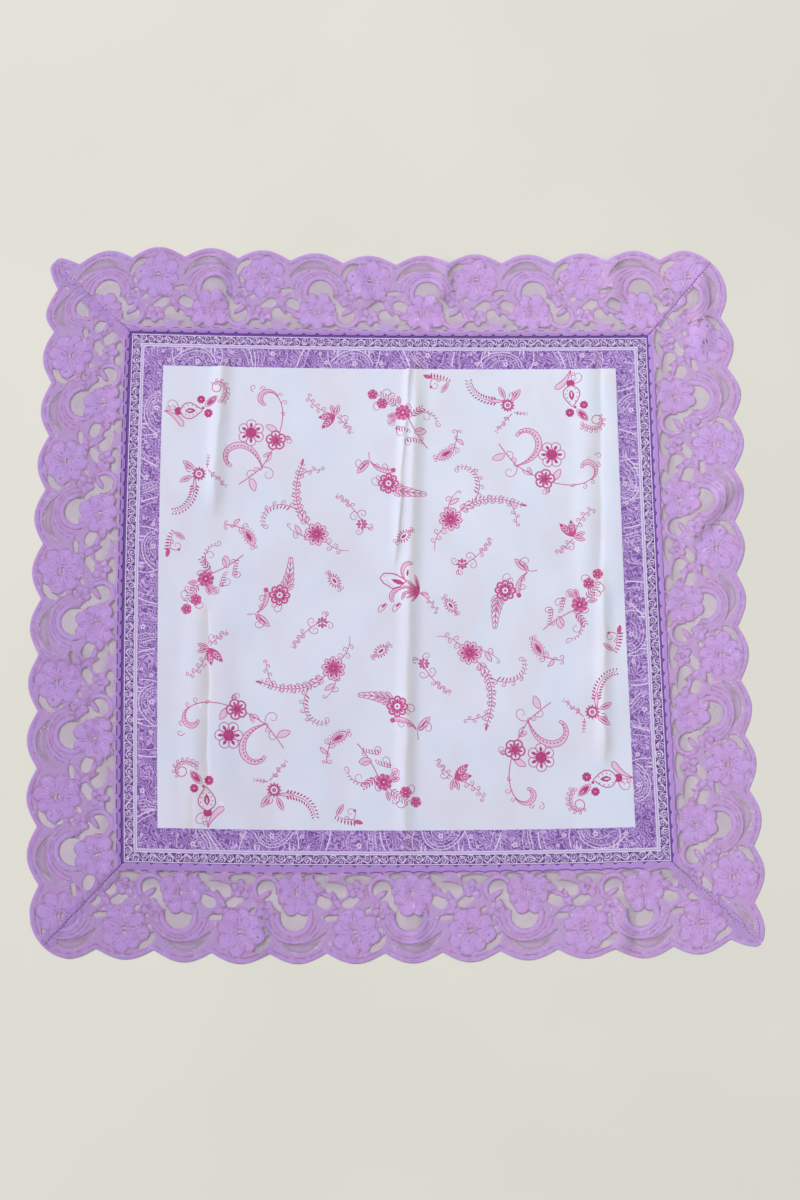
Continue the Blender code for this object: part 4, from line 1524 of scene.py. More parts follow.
    def in_band(self, x: float, y: float, room: float = 0.3) -> bool:
        """Tell whether a place on a side lies in its band, short of the corners' mitres."""
        return abs(y) <= BAND_HALF - room and abs(x) <= BAND_MIDDLE - y - room

    def band_mark(self, side: int, x: float, y: float, heading: float, size: float, ink: Ink) -> None:
        """A small leaflet in the band."""
        if self.in_band(x, y, self.mark_room):
            self.side_pen(side).drop(x, y, heading, size, size * self.mark_width, ink)

    def band_flower(self, side: int, x: float, y: float, size: float) -> None:
        """A small pale flower with a dark eye in the band."""
        if not self.in_band(x, y, size + self.flower_room):
            return
        pen = self.side_pen(side)
        for index in range(self.flower_petals):
            turn = 360.0 * index / self.flower_petals + 10.0 * size
            pen.drop(x, y, turn, size, size * self.flower_petal_width, Ink.PALE)
        pen.dot(x, y, size * self.flower_eye, Ink.PLUM, 6)

    def band_line(self, side: int, path: Path, width: float) -> None:
        """Draw a pale line in the band, with what passes the band's edges left off."""
        pen = self.side_pen(side)
        run: Path = []
        for point in path + [OUTSIDE]:
            if self.in_band(*point):
                run.append(point)
                continue
            if len(run) > 2:
                pen.stroke(run, Ink.PALE, width, tip=1.0)
            run = []


# The triangulation's way of keeping every triangle between its points
WHOLE_HULL = 0


@dataclass
class PrintedCotton:
    """The cotton square: one closed sheet whose print is cut into its upper face."""

    table: Table
    grid: float = 4.8
    under_grid: float = 9.6
    under_reach: float = 0.75
    edge_room: float = 0.6
    stagger: float = 0.25
    rim_steps: int = 140
    merge_distance: float = 1e-4
    thickness: float = 0.45
    bake_share: float = 0.97
    under_bake_gap: float = 0.005
    under_bake_share: float = 0.02

    def build(self) -> bpy.types.Object:
        """Build the sheet with its print and its finish."""
        drawing = Print().draw()
        rim = self.rim_points()
        top, top_faces, inks = self.triangulate(rim, self.grid, drawing)
        under, under_faces, _ = self.triangulate(rim, self.under_grid, None)
        count = len(rim)
        flat = np.concatenate([top, under])
        below = np.concatenate([np.zeros(len(top)), np.ones(len(under))])
        level = COTTON_LEVEL - below * self.thickness
        places = self.table.lay(flat[:, 0], flat[:, 1], level)
        low = self.table.least_rise(under[:, 0], under[:, 1], self.under_grid * self.under_reach)
        places[len(top):, 2] = (COTTON_LEVEL - self.thickness + low) * METRES
        edge = np.arange(count)
        after = np.roll(edge, -1)
        lower = len(top)
        walls = np.stack([edge, edge + lower, after + lower, after], axis=1)
        mesh = build_mesh("cotton_square_cloth", places, [top_faces, under_faces[:, ::-1] + lower, walls])
        slots = np.concatenate([inks, np.zeros(len(under_faces) + count, dtype=np.int32)])
        add_uv(mesh, "pattern", flat)
        unit = (flat + COTTON_HALF) / (2.0 * COTTON_HALF) * self.bake_share
        narrow = self.bake_share + self.under_bake_gap + unit[:, 0] * self.under_bake_share
        unit[:, 0] = np.where(below > 0.5, narrow, unit[:, 0])
        add_uv(mesh, "OFBake", unit)
        # Painted shade on the shaded side of each fold line, for the finish
        folds = np.max([line.shade(flat[:, 0], flat[:, 1]) for line in FOLD_LINES], axis=0)
        add_colour(mesh, "folds", np.stack([folds] * 4, axis=1))
        piece = add_piece("cotton_square_cloth", mesh, CottonFinish().materials())
        mesh.polygons.foreach_set("material_index", slots)
        return piece

    def rim_points(self) -> Points:
        """Evenly spaced points round the cut edge, against the clock."""
        steps = np.arange(-COTTON_HALF, COTTON_HALF, 2.0 * COTTON_HALF / self.rim_steps)
        full = np.full_like(steps, COTTON_HALF)
        sides = ((steps, -full), (full, steps), (-steps, full), (-full, -steps))
        return np.concatenate([np.stack(side, axis=1) for side in sides])

    def triangulate(self, rim: Points, pitch: float,
                    drawing: Drawing | None) -> tuple[Points, Points, Points]:
        """Cut a sheet into triangles that follow what is drawn on it.

        Args:
            rim: the points of its cut edge.
            pitch: the spacing of the points between, which carry its folds.
            drawing: what is printed on it, if anything.

        Returns:
            Its points with the rim first, its triangles, and each triangle's ink.
        """
        inner = COTTON_HALF - pitch * self.edge_room
        steps = np.linspace(-inner, inner, int(2.0 * inner / pitch) + 1)
        cross, up = np.meshgrid(steps, steps)
        cross[::2] += (steps[1] - steps[0]) * self.stagger
        cross[1::2] -= (steps[1] - steps[0]) * self.stagger
        grid = np.stack([cross.ravel(), up.ravel()], axis=1)
        points = [Vector(p) for p in rim] + [Vector(p) for p in grid]
        outline = [(index, (index + 1) % len(rim)) for index in range(len(rim))]
        faces: list[tuple[int, ...]] = []
        if drawing is not None:
            points += [Vector(guide) for line in FOLD_LINES for guide in line.guides()]
            start = len(points)
            points += [Vector(p) for p in drawing.points]
            faces = [tuple(start + corner for corner in face) for face in drawing.faces]
        made, _, triangles, sources, _, owners = delaunay_2d_cdt(points, outline, faces, WHOLE_HULL,
                                                                 self.merge_distance, True)
        flat = np.array([(p.x, p.y) for p in made])
        first = {source: index for index, group in enumerate(sources) for source in group}
        order = [first[index] for index in range(len(rim))]
        rest = sorted(set(range(len(made))) - set(order))
        renumber = np.zeros(len(made), dtype=np.int32)
        renumber[order + rest] = np.arange(len(made))
        inks = np.zeros(len(triangles), dtype=np.int32)
        if drawing is not None:
            inks[:] = [drawing.inks[max(owner)].value if owner else 0 for owner in owners]
        return flat[order + rest], renumber[np.array(triangles)], inks


@dataclass(frozen=True)
class CottonFinish:
    """Plain-weave cotton with its bands of colour and its inks."""

    roughness: float = 0.86
    thread_pitch: float = 0.42
    weave_depth: float = 0.05
    slub_stretch: float = 0.15
    slub_pitch: float = 1.6
    white: Colour = (229, 235, 249)
    cool_white: Colour = (223, 233, 250)
    cool: Patches = Patches(60.0, 0.35, 0.7, 3.0)
    warm_white: Colour = (225, 226, 238)
    warm: Patches = Patches(48.0, 0.4, 0.68)
    warm_stretch: float = 0.6
    warm_share: float = 0.75
    # Painted shade that the folds' shaded sides are multiplied by, and painted light across the scarf at the
    # left and the right
    painted_fold_shade: Colour = (0.96, 0.88, 0.74)
    painted_light_left: Colour = (1.02, 0.98, 1.01)
    painted_light_right: Colour = (1.12, 1.10, 1.10)
    lilac: Colour = (190, 157, 222)
    mauve: Colour = (170, 132, 202)
    mauve_patches: Patches = Patches(19.0, 0.4, 0.62)
    purple: Colour = (106, 64, 146)
    purple_share: float = 0.8
    pale: Colour = (224, 211, 243)
    pale_share: float = 0.5
    line_ground: Colour = (190, 178, 222)
    scroll_ground: Colour = (76, 42, 104)
    edge: Colour = (118, 80, 166)
    band_blur: float = 0.35
    band_drift: float = 0.7
    drift_pitch: float = 9.0
    line_blur: float = 0.2
    squiggle_warp_pitch: float = 10.0
    squiggle_warp: float = 24.0
    squiggle_scale: float = 0.115
    grain_pitch: float = 1.7
    grain_share: float = 0.9
    dark_from: Pair = (0.98, 1.22)
    light_from: Pair = (0.62, 0.36)
    scroll_pitch: float = 16.25
    scroll_wave: float = 2.9
    scroll_line: Pair = (0.95, 0.5)
    scroll_shake: float = 1.6
    shake_pitch: float = 2.2
    curls: tuple[tuple[float, float], ...] = ((0.25, 1.4), (0.75, -1.4))
    curl_pitch: float = 2.1
    curl_line: Pair = (0.3, 0.2)
    curl_reach: Pair = (4.3, 3.7)
    leaves: Patches = Patches(1.5, 0.56, 0.63, 1.0)
    leaves_share: float = 0.8
    scroll_tint: Patches = Patches(4.0, 0.42, 0.58)
    faded_to: float = 232.0
    faded_share: float = 0.16
    faded: Patches = Patches(2.4, 0.3, 0.75)

    def materials(self) -> list[bpy.types.Material]:
        """The cloth and each ink, in the order of Ink."""
        inks = (
            ("pink_line", (201, 84, 146)),
            ("rose_print", (186, 56, 126)),
            ("blush_print", (230, 203, 228)),
            ("pale_line", self.pale),
            ("plum_print", (96, 58, 132)),
        )
        return [self.cloth()] + [self.ink(name, colour) for name, colour in inks]

    def finished(self, wiring: Wiring, place: Socket, colour: Socket) -> bpy.types.Material:
        """Give a material its colour, with painted shade at the folds and painted light across the scarf,
        over the crossing threads.
        """
        split = wiring.node("ShaderNodeSeparateXYZ", Vector=place)
        waves = []
        for output in ("X", "Y"):
            turn = wiring.sum("MULTIPLY", split.outputs[output], 2.0 * pi / self.thread_pitch)
            waves.append(wiring.sum("SINE", turn))
        slubs = wiring.noise(wiring.stretched(place, self.slub_stretch, 1.0), self.slub_pitch)
        weave = wiring.sum("ADD", wiring.sum("MULTIPLY", waves[0], waves[1]), slubs)
        # Painted shade at the folds, then painted light across the scarf
        folds = wiring.node("ShaderNodeAttribute", {"attribute_name": "folds"}).outputs["Fac"]
        shaded = wiring.blend(folds, colour, (*self.painted_fold_shade, 1.0), "MULTIPLY")
        with_painted_light = wiring.with_painted_light(shaded, self.painted_light_left, self.painted_light_right)
        wiring.dress(with_painted_light, self.roughness, weave, self.weave_depth)
        return wiring.material

    def cloth(self) -> bpy.types.Material:
        """The cotton with its white centre and its border bands."""
        wiring = Wiring("printed_cotton")
        place, x, y = wiring.flat_places()
        across, up = wiring.sum("ABSOLUTE", x), wiring.sum("ABSOLUTE", y)
        reach = wiring.sum("MAXIMUM", across, up)
        drift = wiring.sum("MULTIPLY_ADD", wiring.noise(place, self.drift_pitch), self.band_drift,
                           -self.band_drift / 2.0)
        white = wiring.mixed(wiring.patches(place, self.cool), self.white, self.cool_white)
        warm = wiring.patches(wiring.stretched(place, 1.0, self.warm_stretch), self.warm)
        white = wiring.layer(white, warm, self.warm_share, self.warm_white)
        in_band = wiring.step(wiring.sum("ADD", reach, drift), WHITE_HALF, self.band_blur)
        colour = wiring.blend(in_band, white, self.paisley_ground(wiring, place))
        along = wiring.node("ShaderNodeMix", {"data_type": "FLOAT"})
        wiring.feed(along.inputs[0], wiring.sum("GREATER_THAN", across, up))
        wiring.feed(along.inputs[2], x)
        wiring.feed(along.inputs[3], y)
        scroll = self.scroll(wiring, place, along.outputs[0], reach)
        steps = ((LINES_INNER, linear(*self.line_ground)), (LINES_OUTER, scroll),
                 (SCROLL_OUTER + THIN_LINE, linear(*self.edge)))
        for start, tint in steps:
            colour = wiring.blend(wiring.step(reach, start, self.line_blur), colour, tint)
        return self.finished(wiring, place, colour)

    def paisley_ground(self, wiring: Wiring, place: Socket) -> Socket:
        """Fine light and dark squiggles under the paisley's lines."""
        warp = wiring.node("ShaderNodeTexNoise", Vector=place, Scale=1.0 / self.squiggle_warp_pitch,
                           Detail=2.0)
        shift = wiring.node("ShaderNodeVectorMath", {"operation": "SCALE"}, Scale=self.squiggle_warp)
        wiring.feed(shift.inputs[0], warp.outputs["Color"])
        moved = wiring.node("ShaderNodeVectorMath", {"operation": "ADD"})
        wiring.feed(moved.inputs[0], place)
        wiring.feed(moved.inputs[1], shift.outputs[0])
        rings = wiring.node("ShaderNodeTexWave", {"wave_type": "BANDS", "bands_direction": "DIAGONAL"},
                            Vector=moved.outputs[0], Scale=self.squiggle_scale, Distortion=3.0, Detail=2.0)
        grain = wiring.noise(place, self.grain_pitch, 1.0)
        squiggles = wiring.sum("MULTIPLY_ADD", grain, self.grain_share, rings.outputs["Fac"])
        ground = wiring.mixed(wiring.patches(place, self.mauve_patches), self.lilac, self.mauve)
        ground = wiring.layer(ground, wiring.ramp(squiggles, *self.dark_from), self.purple_share, self.purple)
        return wiring.layer(ground, wiring.ramp(squiggles, *self.light_from), self.pale_share, self.pale)

    def scroll(self, wiring: Wiring, place: Socket, along: Socket, reach: Socket) -> Socket:
        """The running scroll: a pale wave with a curl in each bend and leaves between."""
        shake = wiring.sum("MULTIPLY_ADD", wiring.noise(place, self.shake_pitch, 1.0), self.scroll_shake,
                           -self.scroll_shake / 2.0)
        out = wiring.sum("ADD", wiring.sum("SUBTRACT", reach, (LINES_OUTER + SCROLL_OUTER) / 2.0), shake)
        part = wiring.sum("FRACT", wiring.sum("DIVIDE", along, self.scroll_pitch))
        wave = wiring.sum("SINE", wiring.sum("MULTIPLY", part, 2.0 * pi))
        off = wiring.sum("SUBTRACT", out, wiring.sum("MULTIPLY", wave, self.scroll_wave))
        pale = wiring.ramp(wiring.sum("ABSOLUTE", off), *self.scroll_line)
        for bend, side in self.curls:
            across = wiring.sum("MULTIPLY", wiring.sum("SUBTRACT", part, bend), self.scroll_pitch)
            lifted = wiring.sum("ADD", out, side)
            square = wiring.sum("MULTIPLY", across, across)
            radius = wiring.sum("SQRT", wiring.sum("MULTIPLY_ADD", lifted, lifted, square))
            turn = wiring.sum("DIVIDE", wiring.sum("ARCTAN2", lifted, across), 2.0 * pi)
            rings = wiring.sum("DIVIDE", radius, self.curl_pitch)
            wound = wiring.sum("FRACT", wiring.sum("SUBTRACT", rings, turn))
            line = wiring.ramp(wiring.sum("ABSOLUTE", wiring.sum("SUBTRACT", wound, 0.5)), *self.curl_line)
            inside = wiring.ramp(radius, *self.curl_reach)
            pale = wiring.sum("MAXIMUM", pale, wiring.sum("MULTIPLY", line, inside))
        leaves = wiring.sum("MULTIPLY", wiring.patches(place, self.leaves), self.leaves_share)
        tint = wiring.mixed(wiring.patches(place, self.scroll_tint), self.pale, self.lilac)
        return wiring.blend(wiring.sum("MAXIMUM", pale, leaves), linear(*self.scroll_ground), tint)

    def ink(self, name: str, colour: Colour) -> bpy.types.Material:
        """One ink, soaked into the weave so that it is a little uneven."""
        wiring = Wiring(name)
        place, _, _ = wiring.flat_places()
        faded = tuple(channel + (self.faded_to - channel) * self.faded_share for channel in colour)
        tint = wiring.mixed(wiring.patches(place, self.faded), colour, faded)
        return self.finished(wiring, place, tint)


# Lace

# How far along its own half length a leaf goes on bending
BEND_REACH = 1.3


@dataclass(frozen=True)
class Leaf:
    """A rounded leaf or oval of the lace pattern, bent along its length."""

    u: float
    v: float
    length: float
    width: float
    angle: float = 0.0
    bend: float = 0.0
    fullness: float = 2.3

    def depth(self, u: Points, v: Points) -> Points:
        """How deep points lie inside it, in millimetres."""
        du, dv = wrapped(u - self.u), v - self.v
        c, s = cos(radians(self.angle)), sin(radians(self.angle))
        along = (du * c + dv * s) / (self.length / 2.0)
        bent = self.bend * np.clip(along, -BEND_REACH, BEND_REACH) ** 2
        across = (dv * c - du * s + bent) / (self.width / 2.0)
        reach = (np.abs(along) ** self.fullness + np.abs(across) ** self.fullness) ** (1.0 / self.fullness)
        return (1.0 - reach) * self.width / 2.0


@dataclass(frozen=True)
class Arc:
    """A curved band of the lace pattern, from one angle round to another."""

    u: float
    v: float
    radius: float
    width: float
    start: float
    end: float

    def depth(self, u: Points, v: Points) -> Points:
        """How deep points lie inside it, in millimetres."""
        du, dv = wrapped(u - self.u), v - self.v
        middle = radians((self.start + self.end) / 2.0)
        half = radians((self.end - self.start) / 2.0)
        turn = np.abs(np.mod(np.arctan2(dv, du) - middle + pi, 2.0 * pi) - pi)
        ends = (half - turn) * self.radius
        return np.minimum(self.width / 2.0 - np.abs(np.hypot(du, dv) - self.radius), ends)


@dataclass(frozen=True)
class Bloom:
    """A flower of the lace pattern: overlapping round petals about a heart."""

    u: float
    v: float
    petals: int
    reach: float
    petal_length: float
    petal_width: float
    first: float
    heart: float
    uneven: float = 0.08
    uneven_turn: float = 2.4

    def depths(self, u: Points, v: Points) -> Points:
        """How deep points lie inside each petal and the heart, one layer for each."""
        du, dv = wrapped(u - self.u), v - self.v
        layers = [self.heart - np.hypot(du, dv)]
        for index in range(self.petals):
            uneven = 1.0 + self.uneven * sin(self.uneven_turn * index + self.u)
            angle = radians(self.first + 360.0 * index / self.petals)
            c, s = cos(angle), sin(angle)
            along = (du * c + dv * s - self.reach * uneven) / (self.petal_length * uneven)
            across = (dv * c - du * s) / (self.petal_width * uneven)
            layers.append((1.0 - np.hypot(along, across)) * self.petal_width)
        return np.stack(layers)


def wrapped(du: Points) -> Points:
    """Bring a distance along the repeat to the nearest copy."""
    return np.mod(du + REPEAT_DRAWN / 2.0, REPEAT_DRAWN) - REPEAT_DRAWN / 2.0


CRESCENT = Leaf(83.5, 75.0, 50.0, 9.0, 0.0, 14.5)
WINDOWS = (
    CRESCENT,
    Leaf(77.5, 47.5, 26.0, 25.0, 0.0),
    Leaf(5.0, 19.3, 27.0, 10.5, 6.0),
    Leaf(13.0, 22.5, 13.0, 13.0, 0.0),
    Leaf(21.5, 33.0, 27.0, 8.5, -34.0),
    Leaf(52.2, 21.5, 17.6, 18.0, 0.0),
    Leaf(57.5, 31.0, 15.0, 10.0, -24.0),
    Leaf(30.8, 11.8, 27.0, 9.5, 0.0),
    Leaf(-2.4, 32.8, 15.0, 11.0, 24.0),
    Leaf(-9.5, 10.2, 26.0, 8.0, 0.0),
    Leaf(47.5, 72.5, 20.0, 6.5, -34.0, 1.5),
    Leaf(67.2, 10.4, 18.0, 8.0, 8.0),
    Leaf(5.0, 46.8, 15.0, 5.2, -10.0),
    Leaf(92.8, 43.0, 9.5, 7.0, 62.0),
    Leaf(50.0, 46.6, 7.0, 4.4, 0.0),
    Leaf(49.6, 58.2, 7.0, 5.4, 90.0),
    Leaf(52.5, 66.5, 9.0, 4.6, -52.0),
    Leaf(39.0, 40.0, 6.5, 4.0, -30.0),
    Leaf(63.0, 37.5, 8.0, 5.4, 48.0),
)

BLOOMS = (
    Bloom(27.0, 59.5, 8, 13.0, 9.6, 7.6, 12.0, 7.0),
    Bloom(81.0, 26.0, 7, 11.6, 8.6, 7.2, -90.0, 6.0),
    Bloom(51.5, 39.6, 5, 4.3, 4.2, 3.5, -60.0, 2.4),
    Bloom(28.6, 21.2, 5, 5.0, 4.6, 3.6, -90.0, 3.0),
)

LEAVES = (
    Leaf(50.6, 26.6, 16.0, 5.4, -31.0, 0.6, 1.8),
    Leaf(-14.5, 9.6, 8.0, 3.4, -24.0, 0.0, 1.8),
    Leaf(100.0, 21.5, 15.0, 8.0, 4.0, 0.0, 1.8),
    Leaf(9.5, 32.0, 22.0, 6.0, 62.0, 1.0, 1.8),
    Leaf(-1.0, 25.6, 21.0, 5.2, 24.0, 0.8, 1.8),
    Leaf(13.0, 41.0, 22.0, 6.4, -8.0, -1.0, 1.8),
    Leaf(62.0, 43.5, 11.0, 4.6, 64.0, 0.0, 1.8),
)

BANDS = (
    Arc(52.5, 21.5, 11.4, 4.8, 128.0, 385.0),
    Arc(77.5, 46.0, 15.6, 5.4, -30.0, 196.0),
    Arc(77.5, 43.0, 26.0, 3.6, 12.0, 168.0),
)

# Small holes, most of them in the hearts of the flowers
HOLES = (
    Leaf(26.8, 58.6, 5.4, 1.9, 6.0),
    Leaf(27.4, 62.2, 4.8, 1.8, -8.0),
    Leaf(80.2, 25.0, 6.4, 1.8, 78.0),
    Leaf(50.4, 38.6, 1.7, 1.7),
    Leaf(53.0, 40.0, 1.6, 1.6),
    Leaf(26.6, 20.2, 1.6, 1.6),
    Leaf(31.4, 20.6, 1.6, 1.6),
    Leaf(28.6, 23.8, 1.5, 1.5),
    Leaf(44.2, 64.0, 2.0, 2.0),
)


def deepest(shapes: Iterable[Leaf | Arc], u: Points, v: Points) -> Points:
    """How deep points lie inside the nearest of some shapes."""
    return np.max([shape.depth(u, v) for shape in shapes], axis=0)


@dataclass(frozen=True)
class FineLine:
    """A thin line that follows an edge at a distance."""

    distance: float
    half_width: float
    strength: float = 1.0

    def shown(self, depth: Points) -> Points:
        """How strongly it shows where points lie at a depth inside the edge."""
        return hump((depth - self.distance) / self.half_width) * self.strength


@dataclass
class LacePattern:
    """The drawn repeat of the lace: what is clothwork, what is net, and its fine lines."""

    edge_band: float = 5.6
    heading_band: float = 7.2
    heading_room: float = 2.0
    mitre_band: float = 2.2
    line_half: float = 1.15
    line_room: float = 0.3
    outline_share: float = 0.9
    edge_line: FineLine = FineLine(4.6, 1.15, 1.1)
    rim_line: FineLine = FineLine(2.3, 0.9, 0.5)
    heading_line: FineLine = FineLine(1.7, 0.8, 0.45)
    crescent_line: FineLine = FineLine(1.9, 1.1)
    crescent_room: float = 1.0
    dome_depth: float = 4.6
    rim_width: float = 1.5
    rim_room: float = 1.8
    rim_blur: float = 1.0
    ground_share: float = 0.9
    ground_room: float = 0.4
    ground_blur: float = 1.6
    ground_edge_blur: float = 1.2
    ground_heading: float = 5.0
    ground_heading_blur: float = 1.5
    hem_width: float = 5.4
    hem_blur: float = 1.4
    mitre_share: float = 0.62
    mitre_blur: float = 5.0
    mitre_room: float = 0.5
    mitre_fade: float = 4.0
    mitre_waves: tuple[tuple[float, float, float], ...] = ((1.5, 0.23, 0.01), (0.8, 0.61, 0.0))

    def fields(self, plan: StripPlan, s: Points, v: Points) -> dict[str, Points]:
        """Read the pattern at places of a strip.

        Args:
            plan: the strip.
            s: places along it.
            v: places outwards from its heading.

        Returns:
            cloth: how deep a place lies in the clothwork, in millimetres.
            strip: how deep it lies within the strip's cut and scalloped edges.
            line: 0 to 1, how strongly a thin line between two motifs shows, sunk as a groove and given
                painted shade.
            dome: 0 to 1, how full a petal or leaf stands.
            ground: 0 to 1, the thinner cloth between motifs and at a window's rim.
            crescent: 0 to 1, where the net of the crescents is closer.
            crescent_line: 0 to 1, the two thin lines that follow a crescent's edges.
            doubled: 0 to 1, where a seam allowance or the cotton's hem lies under the lace.
        """
        u = plan.drawn_u(s)
        room = plan.mitre_room(s, v)
        outer = plan.edge_v(s) - v
        inner = v - plan.heading_v(s)
        strip = np.min([outer, inner, room], axis=0)
        seam = self.seam_width(plan, s, v)
        motifs = self.motifs(u, v)
        ranked = np.sort(motifs, axis=0)

        free_room = np.minimum(outer - self.edge_band, inner - self.heading_band + self.heading_room)
        windows = np.minimum(deepest(WINDOWS, u, v), free_room)
        cloth = np.max([-windows, ranked[-1], seam - room, self.mitre_band - room], axis=0)
        cloth = np.min([cloth, -deepest(HOLES, u, v), strip], axis=0)

        free = ease(-ranked[-1], -self.ground_room, self.ground_blur)
        free *= ease(outer, self.edge_band, self.ground_edge_blur)
        free *= self.ground_share * ease(inner, self.ground_heading, self.ground_heading_blur)
        thin = smooth_step((self.rim_width - cloth) / self.rim_width)
        thin *= ease(strip, self.rim_room, self.rim_blur)
        crescent = CRESCENT.depth(u, v)
        return {
            "cloth": cloth,
            "strip": strip,
            "line": self.lines(motifs, ranked, outer, inner),
            "dome": smooth_step(ranked[-1] / self.dome_depth),
            "ground": np.maximum(free, thin),
            "crescent": smooth_step(crescent + self.crescent_room),
            "crescent_line": self.crescent_line.shown(crescent),
            "doubled": self.doubled(seam, room, outer, v),
        }

    def motifs(self, u: Points, v: Points) -> Points:
        """How deep points lie inside each petal, leaf and band, one layer for each."""
        petals = [bloom.depths(u, v) for bloom in BLOOMS]
        others = np.stack([shape.depth(u, v) for shape in LEAVES + BANDS])
        return np.concatenate([*petals, others])

    def lines(self, motifs: Points, ranked: Points, outer: Points, inner: Points) -> Points:
        """How strongly the thin lines round the motifs and along the edges show."""
        first, second = ranked[-1], ranked[-2]
        between = hump((first - second) / self.line_half) * smooth_step(second + self.line_room)
        outlines = np.max([hump(layer / self.line_half) for layer in motifs], axis=0)
        outlines = outlines * (second < 0.0) * self.outline_share
        edges = (self.edge_line.shown(outer), self.rim_line.shown(outer), self.heading_line.shown(inner))
        return np.max([between, outlines, *edges], axis=0)

    def seam_width(self, plan: StripPlan, s: Points, v: Points) -> Points:
        """How wide the seam allowance under the nearer mitre is, with its uneven edge."""
        width = np.where(s < 0.0, plan.start_doubled, plan.end_doubled)
        wave = sum(size * np.sin(per_v * v + per_s * s) for size, per_v, per_s in self.mitre_waves)
        return width + wave * (width > 0.0)

    def doubled(self, seam: Points, room: Points, outer: Points, v: Points) -> Points:
        """How strongly a seam allowance or the cotton's hem shows through the lace."""
        under = self.mitre_share * smooth_step((seam - room) / self.mitre_blur + 0.5)
        under = under * (seam > 0.0) * ease(outer, self.mitre_room, self.mitre_fade)
        return np.maximum(under, smooth_step((self.hem_width - v) / self.hem_blur + 0.5))


# The direction on the pattern that the daylight comes from
LIGHT_SIDE = (-0.75, 0.66)


@dataclass
class LaceStrip:
    """One strip of lace: closed clothwork with its relief, and the fine net behind it."""

    plan: StripPlan
    table: Table
    pattern: LacePattern
    cell: float = 1.2
    cell_room: float = 2.0
    floor_gap: float = 0.06
    least_height: float = 0.38
    relief: float = 0.24
    groove: float = 0.16
    seam_rise: float = 0.2
    net_pitch: float = 1.95
    net_turn: float = 15.0
    thread_width: float = 0.54
    close_room: float = 2.8
    # How far towards the daylight the clothwork is looked for, and the blur of the net's painted shadow
    shaded_reach: float = 1.5
    shaded_blur: float = 1.4
    relief_reach: float = 1.5
    dome_share: float = 0.45
    net_under_cloth: float = 1.3
    net_edge_room: float = 1.6
    net_height: float = 0.16
    net_sway: float = 0.07
    net_sway_turns: Pair = (2.1, 1.7)
    net_drift: float = 0.5
    net_drift_turns: tuple[float, float, float] = (0.31, 0.07, 0.27)

    def build(self, finish: LaceFinish) -> list[bpy.types.Object]:
        """Build the strip's clothwork and its net."""
        cloth = self.clothwork(finish)
        return [cloth, self.net(finish)]

    def grid(self) -> tuple[Points, Points]:
        """The places where the pattern is read, a little past the strip on every side."""
        room = self.cell_room
        s = np.arange(-LACE_HALF - room, LACE_HALF + room + self.cell, self.cell)
        v = np.arange(-room, LACE_WIDTH + room + self.cell, self.cell)
        return np.meshgrid(s, v)

    def clothwork(self, finish: LaceFinish) -> bpy.types.Object:
        """Cut the clothwork out of the grid and raise its relief."""
        s, v = self.grid()
        cloth = self.pattern.fields(self.plan, s, v)["cloth"]
        places, faces, walls = cut_out(s, v, cloth)
        found = self.pattern.fields(self.plan, places[:, 0], places[:, 1])
        inside = smooth_step(np.maximum(found["cloth"], 0.0) / self.relief_reach)
        fullness = 1.0 - self.dome_share + self.dome_share * found["dome"]
        height = self.least_height + self.relief * inside * fullness
        height += inside * (self.seam_rise * found["doubled"] - self.groove * found["line"])
        x, y = self.plan.pattern(places[:, 0], places[:, 1])
        base = self.table.lace_level(x, y)
        top = self.table.lay(x, y, base + height)
        under = self.table.lay(x, y, base + self.floor_gap)
        count = len(places)
        turned = [group[:, ::-1] for group in faces]
        sides = np.concatenate([walls[:, ::-1], walls + count], axis=1)[:, ::-1]
        mesh = build_mesh(f"lace_{self.plan.name}_clothwork", np.concatenate([top, under]),
                          turned + [group + count for group in faces] + [sides])
        shade = np.stack([found[name] for name in ("line", "ground", "doubled", "dome")], axis=1)
        add_uv(mesh, "pattern", np.concatenate([places, places]))
        add_colour(mesh, "shade", np.concatenate([shade, shade]))
        return add_piece(f"lace_{self.plan.name}_clothwork", mesh, [finish.clothwork])

    def turned(self, along: Points, out: Points) -> tuple[Points, Points]:
        """Turn the net's places about the middle of the strip's heading."""
        c, s = cos(radians(self.net_turn)), sin(radians(self.net_turn))
        return along * c - out * s, along * s + out * c

    def rim_shade(self, s: Points, v: Points) -> Points:
        """How strongly the clothwork stands between a place and the daylight, for the net's painted shadow.
        """
        (along_x, along_y), (out_x, out_y) = self.plan.along, self.plan.outwards
        light_x, light_y = LIGHT_SIDE
        near_s = s + self.shaded_reach * (along_x * light_x + along_y * light_y)
        near_v = v + self.shaded_reach * (out_x * light_x + out_y * light_y)
        near_cloth = self.pattern.fields(self.plan, near_s, near_v)["cloth"]
        return smooth_step(near_cloth / self.shaded_blur + 0.5)

    def knots(self) -> Points:
        """The knots that threads start from, before the net is turned: more in the crescents."""
        reach = LACE_HALF * sin(radians(self.net_turn)) + LACE_WIDTH
        along, out = np.meshgrid(np.arange(-LACE_HALF - LACE_WIDTH, LACE_HALF + LACE_WIDTH, self.net_pitch),
                                 np.arange(-reach, reach, self.net_pitch * sqrt(3.0) / 2.0))
        along[1::2] += self.net_pitch / 2.0
        s, v = self.turned(along, out)
        on_strip = (np.abs(s) < LACE_HALF) & (v > 0.0) & (v < LACE_WIDTH)
        s, v, along, out = s[on_strip], v[on_strip], along[on_strip], out[on_strip]
        found = self.pattern.fields(self.plan, s, v)
        open_here = (found["cloth"] < self.net_under_cloth) & (found["strip"] > self.net_edge_room)
        close_here = open_here & (found["strip"] > self.close_room) & (found["crescent"] > 0.5)
        knots_along = np.concatenate([along[open_here], along[close_here]])
        knots_out = np.concatenate([out[open_here], out[close_here] - self.net_pitch / sqrt(3.0)])
        return np.stack([knots_along, knots_out, np.zeros(len(knots_out))], axis=1)

